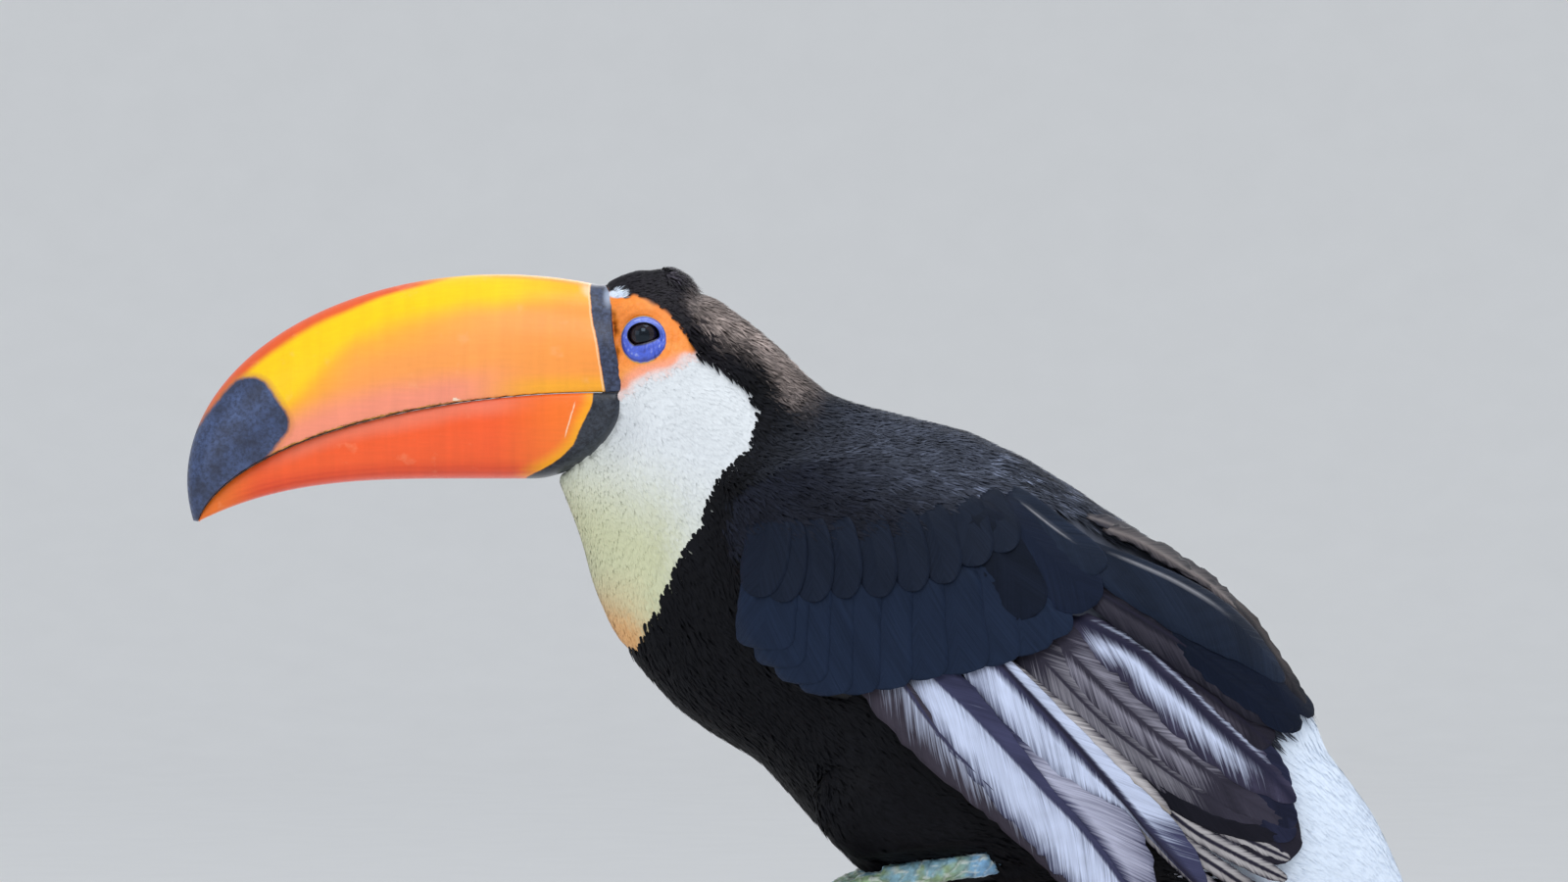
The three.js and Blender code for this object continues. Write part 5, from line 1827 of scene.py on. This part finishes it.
def vane_rings(vane, number):
    """The closed rings of a vane, with each point's share along, share across, barb place and way across."""
    t = np.linspace(0, 1, vane.rows)
    t = mix(t, 1 - (1 - t) ** 1.8, 0.65)
    fine = smooth_line(vane.shaft, 80)
    run = run_along(fine)
    line = np.stack([np.interp(t * run[-1], run, fine[:, k]) for k in (0, 1)], -1)
    ahead = unit(np.gradient(line, axis=0))
    across = np.stack([-ahead[:, 1], ahead[:, 0]], -1)
    grow = mix(vane.root, 1.0, np.clip(t / 0.22, 0, 1) ** 0.6)
    end = np.clip((t - vane.tip_from) / (1 - vane.tip_from), 0, 0.999)
    t, profile = t[:, None], (grow * (1 - end**vane.blunt) ** (1 / vane.blunt))[:, None]
    a = ACROSS[None, :] + 0 * t
    wide = np.where(a < 0, widths_at(vane.low, t[:, 0]), widths_at(vane.high, t[:, 0])) * profile
    s = t * run[-1]
    notch = noise(vane_spots(s, a, 17.0 * number), 2.6, 91).reshape(a.shape)
    wide = wide * (1 - vane.fray * np.abs(a) ** 3 * np.maximum(0, notch + 0.35))
    u = np.abs(a) * wide
    barb = s - BARB_SLANT * u
    x = line[:, :1] + across[:, :1] * a * wide
    z = line[:, 1:] + across[:, 1:] * a * wide
    height = mix(vane.lift[0], vane.lift[1], t) - ROOT_DIP * np.clip(1 - t / 0.16, 0, 1) ** 2 + vane.tilt * a
    height = height + vane.arch * (1 - a**2) * profile + 0.22 * bump_at(u, 0, RACHIS) * (1 - t**4)
    ripple = 0.05 * noise(vane_spots(barb, a, 17.0 * number), 1.7, 92).reshape(a.shape)
    surface = map_value(SIDE_SURFACE, WING_MAP_LOW, WING_MAP_STEP, np.stack([x, z], -1))[..., 0]
    out = surface + height + ripple
    thick = 0.3 * (1 - 0.5 * np.abs(a))
    rings = both_faces(np.stack([x, -out, z], -1), np.stack([x, thick - out, z], -1))
    return rings, [both_faces(field, field) for field in (t + 0 * a, a, barb, a * wide)]


def vane_piece(name, made, material, columns=None, mirror=1):
    """Vanes as one piece, each given as its number, its paint, its rings and their fields.

    columns is the number of vanes side by side on the bake map, and mirror -1 for the right wing.
    """
    columns = columns or math.ceil(math.sqrt(len(made)))
    rows = math.ceil(len(made) / columns)
    parts, values = [], []
    for k, (number, paint, rings, (t, a, barb, u)) in enumerate(made):
        parts.append(tube_mesh(rings))
        spots = np.stack([barb, u * 0.15, 0 * u + 19.0 * number], -1).reshape(-1, 3)
        cell = np.array((k % columns, k // columns))
        place = (cell + 0.04 + 0.92 * np.stack([(a + 1) / 2, t], -1)) / np.array((columns, rows))
        fields = [np.stack([barb, u, 0 * u + 13.0 * number], -1), place]
        fields += [field.reshape(*t.shape, -1) for field in paint(t, a, u, spots)]
        fields = np.concatenate(fields, -1)
        values += [fields.reshape(-1, fields.shape[-1]), fields[[0, -1]].mean(1)]
    vertices, faces = joined(parts)
    vertices = vertices * np.array((1, mirror, 1))
    faces = outward(vertices, faces)
    piece = make_mesh(name, vertices, faces)
    barb_place, bake_place, pale, dark, web = np.split(np.concatenate(values), (3, 5, 8, 11), axis=1)
    set_colours(piece, pale)
    set_colours(piece, dark, "Dark")
    set_numbers(piece, "web", web)
    layer = piece.data.attributes.new("Barb", "FLOAT_VECTOR", "POINT")
    layer.data.foreach_set("vector", barb_place.astype(np.float32).ravel())
    set_bake_map(piece, bake_place[faces.reshape(-1)])
    wear(piece, material)
    return piece


def vane_material(name, roughness, streak, sheen):
    """Barbs that leave the shaft at a slant, drawn from each point's place along them.

    The web is pale over 0 and dark under it, with a margin of streaks along the barbs.
    """
    material, tree, shader = new_material(
        name, roughness, Sheen_Weight=sheen, Sheen_Roughness=0.35, Sheen_Tint=(0.6, 0.72, 1.0, 1),
        Specular_IOR_Level=0.12, Specular_Tint=(0.6, 0.74, 1.0, 1),
    )
    barb = add_node(tree, "Attribute", attribute_name="Barb").outputs["Vector"]

    def barb_noise(scale, detail, rough):
        where = add_node(tree, "Mapping", {"Vector": barb, "Scale": scale}).outputs["Vector"]
        return noise_on(tree, where, 1.0, detail, rough)

    fine, clump = barb_noise((2.6, 0.12, 1.0), 3, 0.6), barb_noise((0.5, 0.06, 1.0), 2, 0.5)
    streaky = stretch(tree, barb_noise((0.62, 0.06, 1.0), 4, 0.6), 0.25, 0.75, -1, 1)
    web = math_node(tree, "ADD", number_of(tree, "web"), math_node(tree, "MULTIPLY", streaky, 0.62))
    colour = mixed(tree, stretch(tree, web, -0.45, 0.6), painted(tree, "Dark"), painted(tree))
    set_base(tree, shader, shaded(tree, colour, (fine, 1 - streak, 1 + streak), (clump, 0.9, 1.1)))
    bump(tree, shader, math_node(tree, "ADD", fine, math_node(tree, "MULTIPLY", clump, 1.5)), 0.14, 0.7)
    return material


COVERT_BLUE = srgb(21, 27, 41)
GREATER_BLUE = srgb(27, 37, 57)
WING_BROWN = srgb(86, 79, 79)
FLIGHT_DARK = srgb(34, 31, 45)
FLIGHT_PALE = srgb(196, 206, 232)
FLIGHT_CREAM = srgb(186, 182, 184)
FLIGHT_BROWN = srgb(130, 128, 137)


def shaft_line(colour, line, u, strength, wide):
    """Colours with a line of this half width drawn along the shaft."""
    return blend_colours(colour, line, strength * bump_at(u, 0, wide))


def plain_paint(colour, edge=1.25, shaft=None, vary=0.2, dusky=0.75):
    """One dark colour, a little lighter at the rim, with the shaft in another colour if one is given."""
    def paint(t, a, u, spots):
        t, a, u = t.ravel(), a.ravel(), u.ravel()
        tone = 1 + vary * noise(spots, 5.0, 93) + (edge - 1) * ramp(np.abs(a), 0.8, 1.0)
        made = colour[None] * (tone * mix(0.85, 1.1, t))[:, None]
        dark = made * dusky
        if shaft is not None:
            show = 0.55 * ramp(t, 0.12, 0.3) * (1 - ramp(t, 0.5, 0.72))
            made, dark = shaft_line(made, shaft, u, show, 0.3), shaft_line(dark, shaft, u, show, 0.3)
        return made, dark, 0 * t + 0.1
    return paint


def flight_paint(
    pale, low, high, dark=FLIGHT_DARK, tip=0.82, begin=0.0, shaft=FLIGHT_DARK, soft=0.3, bold=0.5,
):
    """A pale web with dark streaks along its barbs, a dark shaft, and a dark tip.

    low and high are the shares across where the web below and above the shaft is pale, begin and tip the
    shares along where it begins and ends to be, soft the width of the change, bold the shaft's half width.
    """
    def paint(t, a, u, spots):
        t, a, u = t.ravel(), a.ravel(), u.ravel()
        out = np.abs(a)
        start = np.where(a < 0, low[0], high[0])
        stop = np.where(a < 0, low[1], high[1])
        inside = np.minimum((out - start) / 0.1, (stop - out) / soft)
        inside = np.minimum(inside, (tip - t) / 0.12)
        inside = np.minimum(inside, (t - begin) / 0.09 + 0.3)
        web = np.clip(inside, -1, 1) * 0.75
        light = pale[None] * (1 + 0.1 * noise(spots, 6.0, 94))[:, None]
        dusk = dark[None] * (1 + 0.3 * noise(spots, 6.0, 95))[:, None]
        return shaft_line(light, shaft, u, 0.95, bold), shaft_line(dusk, shaft, u, 0.95, bold), web
    return paint


def covert_row(roots, tips, count, half, lift, paint, seed, bow=(1.6, 0.0), **more):
    """count vanes of a half width from a curve of roots to one of tips, front to rear, each bowed by bow."""
    rng = random_numbers(seed)
    start, end = smooth_line(roots, count), smooth_line(tips, count)
    made = []
    for k in range(count):
        sway = rng.normal(0, 0.5, 2)
        bend = mix(start[k], end[k], 0.5) + np.array(bow) + 0.4 * sway
        wide = half * (1 + 0.06 * rng.standard_normal())
        made.append(Vane([start[k], bend, end[k] + 0.6 * sway], wide, wide, lift, paint, **more))
    return made


def covert_vanes():
    """The greater and median rows of feathers over the folded wing."""
    greater = plain_paint(GREATER_BLUE, 1.12, vary=0.12)
    median = plain_paint(COVERT_BLUE, 1.25, vary=0.12)
    smooth = {"fray": 0.03, "arch": 0.15}
    rows = covert_row(
        [(-54, 290), (-42, 287), (-24, 286), (-2, 288), (20, 293), (38, 299)],
        [(-58, 256), (-49, 246), (-37, 239.5), (-22, 240.5), (-4, 244), (16, 247.5), (33, 252), (45, 258.5)],
        11, 10.5, (-0.2, 0.9), greater, 101, (-0.6, -0.4), tilt=0.3, rows=18, blunt=3.0, tip_from=0.8,
        **smooth,
    )
    rows += covert_row(
        [(-56, 306), (-44, 306), (-22, 307), (0, 309), (20, 313)],
        [(-61, 275), (-50, 272.5), (-37, 273.5), (-23, 274.5), (-9, 276), (4, 279), (17, 285), (30, 291)],
        9, 7.6, (-1.6, 1.1), median, 102, tilt=0.45, rows=22, blunt=2.2, tip_from=0.6, **smooth,
    )
    return rows


def scapular_vanes():
    """The broad feathers of the shoulder and the tertials that lie over the folded wing."""
    grey = plain_paint(srgb(15, 20, 33), 1.25, vary=0.25)
    blue = plain_paint(srgb(19, 26, 44), 1.4, vary=0.2)
    tertial = plain_paint(srgb(26, 34, 50), 1.3, srgb(168, 168, 174), vary=0.3)
    brown = flight_paint(
        WING_BROWN, (0.0, 0.5), (0.0, 0.5), srgb(40, 37, 42), tip=0.8, shaft=srgb(112, 104, 102), soft=0.7,
    )
    worn = flight_paint(
        srgb(72, 67, 69), (0.0, 0.4), (0.0, 0.4), srgb(34, 33, 41), tip=0.7, shaft=srgb(104, 98, 98),
        soft=0.8,
    )
    rim = flight_paint(
        srgb(64, 56, 54), (0.2, 0.6), (0.2, 0.9), srgb(24, 23, 30), tip=0.8, shaft=srgb(40, 36, 38), soft=0.5,
    )
    dusk = flight_paint(srgb(54, 51, 60), (0.2, 0.7), (0.2, 0.7), srgb(28, 26, 34), tip=0.8, soft=0.5)
    tip = plain_paint(srgb(14, 20, 36), 1.5)
    narrow = {"rows": 24, "fray": 0.4, "blunt": 1.4}
    return [
        Vane([(60, 279), (92.5, 259), (115, 243), (134, 228)], 9, 9, (0.0, 0.5), dusk, rows=26),
        Vane([(84, 268), (108, 250), (126, 237), (138, 226)], 6.5, 7, (0.3, 0.7), tip, rows=22, fray=0.25),
        Vane([(95, 267), (114, 254), (131, 241), (143.5, 231)], 5, 5, (0.4, 0.9), tip, rows=22, fray=0.3),
        Vane([(90, 262), (106, 248), (120, 238), (135, 226)], 5, 5, (0.4, 0.9), tip, rows=20, fray=0.3),
        Vane([(100, 283), (118.4, 268.2), (129, 253), (141, 235)], 4, 2.6, (0.6, 1), rim, rows=26, fray=0.25),
        Vane(
            [(54, 297.5), (66, 291.8), (80, 286), (94, 279.5), (109, 270), (124, 255.5), (132.5, 243.5)],
            (9, 13, 15.5, 17, 15.5, 10, 6), (1.5, 2, 2.5, 3, 3.5, 3.5, 3), (0.7, 1.3), tertial, rows=32,
            fray=0.04,
        ),
        Vane([(86, 291), (96, 285.5), (106, 278.5), (117, 269)], 2.6, 3.6, (0.5, 1.0), brown, **narrow),
        Vane([(76, 296), (88, 290), (99, 283.5), (110, 276)], 2.8, 3.6, (0.6, 1.1), brown, **narrow),
        Vane([(66, 300), (78, 295.5), (90, 288.8), (101, 281.5)], 3.0, 4.0, (0.7, 1.3), brown, **narrow),
        Vane(
            [(60, 304), (70, 300.5), (81, 294.5), (92, 287)], 2.4, 3.2, (-1.2, 1.4), worn, rows=24, fray=0.4,
            blunt=1.3,
        ),
        Vane(
            [(14, 309), (27, 291), (40, 268)], 10.5, 10, (-0.6, 1.0), grey, tilt=0.2, rows=20, fray=0.03,
            arch=0.2,
        ),
        Vane(
            [(26, 311), (40.7, 295), (54.4, 281.5), (62.5, 272)], 13, 9, (-0.8, 1.4), blue, tilt=0.2, rows=24,
            fray=0.03, arch=0.3,
        ),
        Vane(
            [(30, 314), (45.3, 301.6), (55.6, 294), (66.5, 285.5)], 8.5, 5, (-1.0, 1.7), tertial, tilt=0.2,
            rows=20, fray=0.05, arch=0.3,
        ),
    ]


def flight_vanes():
    """The long feathers, from the lowest to the topmost."""
    brown_dark = srgb(50, 47, 58)
    slate = srgb(60, 61, 88)
    fringe = srgb(58, 53, 62)
    first = flight_paint(FLIGHT_PALE, (0.0, 0.12), (2, 2), fringe, tip=0.9, shaft=slate, soft=0.75)
    second = flight_paint(FLIGHT_PALE, (0.03, 0.86), (2, 2), slate, tip=0.97, shaft=slate, bold=0.8)
    second_high = flight_paint(
        srgb(176, 178, 200), (2, 2), (0.15, 0.9), slate, tip=0.93, begin=0.45, shaft=slate, soft=0.6,
    )
    third = flight_paint(FLIGHT_PALE, (0.2, 0.86), (0.2, 1.3), slate, 0.78, begin=0.12, soft=0.4, bold=1.1)
    cream = flight_paint(
        FLIGHT_CREAM, (0.0, 0.9), (0.0, 0.8), brown_dark, tip=0.97, shaft=srgb(150, 142, 134), soft=0.5,
    )
    brown = {"dark": brown_dark, "tip": 0.64, "begin": 0.15, "soft": 0.8, "shaft": brown_dark}
    brown_web = flight_paint(FLIGHT_BROWN, (0.05, 0.6), (0.1, 0.6), **brown)
    streaked = flight_paint(srgb(146, 144, 158), (0.15, 0.55), (0.1, 0.55), **brown)
    bright = flight_paint(
        FLIGHT_PALE, (0.12, 0.62), (0.45, 0.6), srgb(58, 55, 74), tip=0.78, begin=0.14,
        shaft=srgb(36, 35, 54), bold=1.7,
    )
    striped = flight_paint(FLIGHT_CREAM * 0.8, (0.2, 0.8), (0.2, 0.8), brown_dark, tip=1.3)
    black_web = plain_paint(srgb(24, 22, 29), 1.2)
    tip_web = plain_paint(srgb(34, 36, 56), 1.5, vary=0.4)
    dark_web = flight_paint(srgb(70, 66, 76), (0.2, 0.6), (0.2, 0.6), srgb(36, 33, 42), tip=0.8, soft=0.5)
    second_shaft = [
        (0, 250), (8.5, 241.6), (17.6, 233.2), (32.3, 217.5), (44.7, 204.2), (57.1, 191.5), (68.4, 177),
        (80, 160),
    ]
    # Each feather's shaft, half widths below and above it, lift at root and tip, paint, and tilt.
    feathers = [
        ([(84, 207), (102, 195), (119, 186), (134, 179)], 3.2, 3.2, (-2.3, -1.3), striped, 0),
        ([(82, 203), (98, 190), (115, 180.5), (133, 171.5)], 3.4, 3.4, (-2.1, -1.1), striped, 0),
        ([(78, 200), (94, 185.5), (110, 174.5), (127, 163)], 3.4, 3.4, (-1.9, -0.9), striped, 0),
        ([(74, 198), (90, 182), (103, 170), (118, 157)], 3.4, 3.4, (-1.8, -0.8), striped, 0),
        ([(56, 266), (88, 232), (110, 209), (127, 188), (133, 178)], 13, 15, (-2.4, -1.4), dark_web, 0),
        ([(76, 214), (92, 202), (110, 193), (130, 188)], 5, 5, (-1.9, -0.8), black_web, 0),
        ([(92, 222), (110, 206), (125, 193), (136, 188)], 6, 6, (-1.9, -0.7), tip_web, 0),
        ([(92, 233), (112, 214), (126, 202), (135.5, 191)], 6, 6, (-1.7, -0.5), tip_web, 0),
        ([(95, 241), (113, 225), (126, 213), (132.5, 203)], 6, 6, (-1.5, -0.3), tip_web, 0),
        ([(74, 262), (98, 244), (115, 231), (127, 221)], 9, 9, (-1.5, -0.4), dark_web, 0),
        (
            [(38, 258), (61.7, 233), (78.6, 219), (95.6, 206.5), (113, 196), (134, 189)],
            (9, 10, 9, 7, 6, 4), (8, 10, 10, 9, 8, 5), (-1.8, -0.9), brown_web, 0,
        ), (
            [(46, 262), (67.3, 240.4), (84.3, 225.7), (101.2, 213.3), (118.2, 200.8), (136, 191)],
            (7, 8, 8, 8, 7, 4), (8, 9, 9, 9, 8, 5), (-1.6, -0.6), streaked, 0,
        ), (
            [(54, 268), (76.4, 255.8), (86.5, 247), (95.6, 239), (104.6, 230.2), (113.7, 222),
             (127.3, 209.5), (136, 200)],
            (9, 11, 13, 13.5, 13, 11, 7), (3.5, 4.5, 5, 5, 5, 4.5, 4), (-1.4, -0.2), bright, 0,
        ), (
            [(26, 252), (45, 235), (61.7, 220.5), (73, 210.5), (83, 202), (90, 196)],
            (6, 7, 8, 8, 7, 5), (5, 5, 5.5, 5.5, 4.5, 3), (-1.5, -0.5), cream, 0,
        ), (
            [(-12, 250), (-5.6, 241.6), (0.6, 232.5), (8.5, 222.3), (17, 213.4), (38, 192), (56, 172),
             (70, 158)],
            (16.5, 15, 12, 9.5, 8, 6.5, 5.5, 4.5), 2.0, (-1.2, -0.3), first, 0.2,
        ), (
            second_shaft,
            (11, 13, 15, 16, 16, 16, 16, 15), (8, 8, 7, 12, 18, 18, 17, 14), (-1.0, -0.1), second_high, 0,
        ), (
            second_shaft,
            (12, 15, 16, 17, 18, 18.5, 18, 17), (7, 7, 6, 4, 2.0, 1.4, 1.2, 1.0), (-0.6, 0.4), second, 0.2,
        ), (
            [(16, 262), (26.6, 252.3), (34.5, 243.8), (50.4, 226.7), (66.2, 208.6), (79.8, 191.7),
             (93.3, 177), (103, 167)],
            (13, 14, 15, 15.5, 15.5, 9, 1.6, 1.2, 1.2, 1), (3, 3.5, 4.5, 5, 6, 8, 10, 10, 7), (-0.8, 0.2),
            third, 0.1,
        ),
    ]
    return [Vane(*feather, rows=44, fray=0.1, arch=0.3, root=0.9) for feather in feathers]


VANE_DARK = vane_material("vane_dark", 0.5, 0.14, 0.015)
VANE_PALE = vane_material("vane_streaked", 0.65, 0.12, 0.0)
FLIGHT_FIRST, TAIL_FIRST = 300, 600  # the numbers of the first long wing feather and the first tail feather


def numbered(vanes, first):
    """Each vane's number, paint, rings and fields."""
    return [(number, vane.paint, *vane_rings(vane, number)) for number, vane in enumerate(vanes, first)]


short_vanes = numbered(covert_vanes() + scapular_vanes(), 0)
long_vanes = numbered(flight_vanes(), FLIGHT_FIRST)
for side_name, side in SIDES:
    wing = f"wing_{side_name}"
    vane_piece(f"{wing}_covert_vanes", short_vanes, VANE_DARK, mirror=-side)
    long_feathers = vane_piece(f"{wing}_flight_vanes", long_vanes, VANE_PALE, mirror=-side)
    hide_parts(f"wing_{side_name}_flight")


# ---- tail ----
RECTRICES = 10
RECTRIX_HALF = 8.0
TAIL_LENGTH = 150.0  # the run of the barbs' places from the tail's root to its tip
TAIL_BLACK = srgb(16, 17, 23)


def tail_vanes():
    """The black tail feathers side by side, the middle pair on top, each as vane_piece takes it."""
    line = smooth_line([TAIL["base"], TAIL["bend"], TAIL["tip"]], 60)
    paint = plain_paint(TAIL_BLACK, 1.3, vary=0.3)
    middle = (RECTRICES - 1) / 2
    t = (1 - (1 - np.linspace(0, 1, 34)) ** 1.5)[:, None]
    end = np.clip((t - 0.88) / 0.12, 0, 0.999)
    a = ACROSS[None] + 0 * t
    made = []
    for k in range(RECTRICES):
        place = (k - middle) / middle
        s = t * (1 - 0.07 * abs(place) ** 2)
        centre = np.concatenate([np.interp(s, np.linspace(0, 1, 60), line[:, axis]) for axis in (0, 1)], 1)
        ahead = unit(np.gradient(centre, axis=0))
        wide = mix(*TAIL["half_width"], np.sin(s * np.pi / 2))
        fanned = ramp(s, 0.3, 0.66)
        half = RECTRIX_HALF * mix(0.5, 1, fanned) * (1 - end**2.3) ** (1 / 2.3)
        y = place * (wide - RECTRIX_HALF) * mix(0.35, 1, fanned) + a * half
        barb = TAIL_LENGTH * s - 1.2 * np.abs(a) * half
        lift = 1.9 - 0.33 * abs(k - middle) - TAIL["arch"] * (y / wide) ** 2
        lift = lift - ROOT_DIP * np.clip(1 - t / 0.2, 0, 1)
        lift = lift + 0.5 * (1 - a**2) + 0.25 * bump_at(a * half, 0, RACHIS)
        lift = lift + 0.1 * noise(vane_spots(TAIL_LENGTH * s, a, 21.0 * k), 2.0, 96).reshape(a.shape)
        layers = []
        for sink in (0.0, 0.35):
            x = centre[:, :1] - ahead[:, 1:] * (lift - sink)
            z = centre[:, 1:] + ahead[:, :1] * (lift - sink)
            layers.append(np.stack([x, y, z], -1))
        fields = [both_faces(field, field) for field in (t + 0 * a, a, barb, a * half)]
        made.append((TAIL_FIRST + k, paint, both_faces(*layers), fields))
    return made


piece = vane_piece("tail_vanes", tail_vanes(), VANE_DARK, RECTRICES)
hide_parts("tail")


# ---- stage ----
def stage_material(name, colour):
    material, tree, shader = new_material(name, 0.9)
    grain = noise_on(tree, place_on(tree), 18, 4, 0.5)
    set_base(tree, shader, mixed(tree, grain, colour * 0.97, colour * 1.02))
    return material


def make_floor():
    """A pale round floor whose rim curves up into a backdrop on every side."""
    reach, bend, count = 5000.0, 1500.0, 96
    rows = [(0.5, 0.0), (1500.0, 0.0), (3400.0, 0.0), (reach, 0.0)]
    for turn in np.linspace(0, np.pi / 2, 24)[1:]:
        rows.append((reach + bend * math.sin(turn), bend * (1 - math.cos(turn))))
    around = np.linspace(0, 2 * np.pi, count, endpoint=False)
    grid = np.array([[(r * math.cos(a), r * math.sin(a), z) for a in around] for r, z in rows])
    floor = make_mesh("floor", grid.reshape(-1, 3), grid_faces(len(rows), count, True), body=None)
    floor.data.materials.append(stage_material("floor_pale", srgb(240, 240, 239)))


def soft_light(name, place, size, power, colour):
    """A rectangular light that faces the bird."""
    data = bpy.data.lights.new(name, "AREA")
    data.shape = "RECTANGLE"
    data.size, data.size_y = size[0] * MM, size[1] * MM
    data.energy = power
    data.color = colour
    lamp = bpy.data.objects.new(name, data)
    lamp.location = Vector(place) * MM
    lamp.rotation_euler = (Vector(LIT_PLACE) - Vector(place)).to_track_quat("-Z", "Y").to_euler()
    bpy.context.scene.collection.objects.link(lamp)


make_floor()
LIT_PLACE = (-20.0, 0.0, 260.0)
soft_light("key", (100, -1600, 1500), (1000, 800), 10, (1.0, 0.985, 0.96))
soft_light("top", (350, -150, 1600), (1000, 800), 7, (0.95, 0.975, 1.0))
soft_light("fill", (-1500, -1500, 700), (1100, 1100), 4, (0.93, 0.96, 1.0))
soft_light("back", (300, 1300, 900), (1100, 700), 4.5, (1.0, 0.99, 0.97))

world = bpy.data.worlds.new("studio")
bpy.context.scene.world = world
world.use_nodes = True
sky = world.node_tree.nodes["Background"]
sky.inputs["Color"].default_value = (0.9, 0.94, 1.0, 1)
sky.inputs["Strength"].default_value = 0.72

camera_data = bpy.data.cameras.new("camera")
camera_data.sensor_width = 36.0
camera_data.lens = 187.5
camera_data.clip_start, camera_data.clip_end = 0.1, 20.0
camera = bpy.data.objects.new("camera", camera_data)
camera.location = (-0.0504, -3.0, 0.3314)
camera.rotation_euler = (math.pi / 2, 0, 0)
bpy.context.scene.collection.objects.link(camera)
bpy.context.scene.camera = camera
bpy.context.scene.view_settings.view_transform = "Standard"
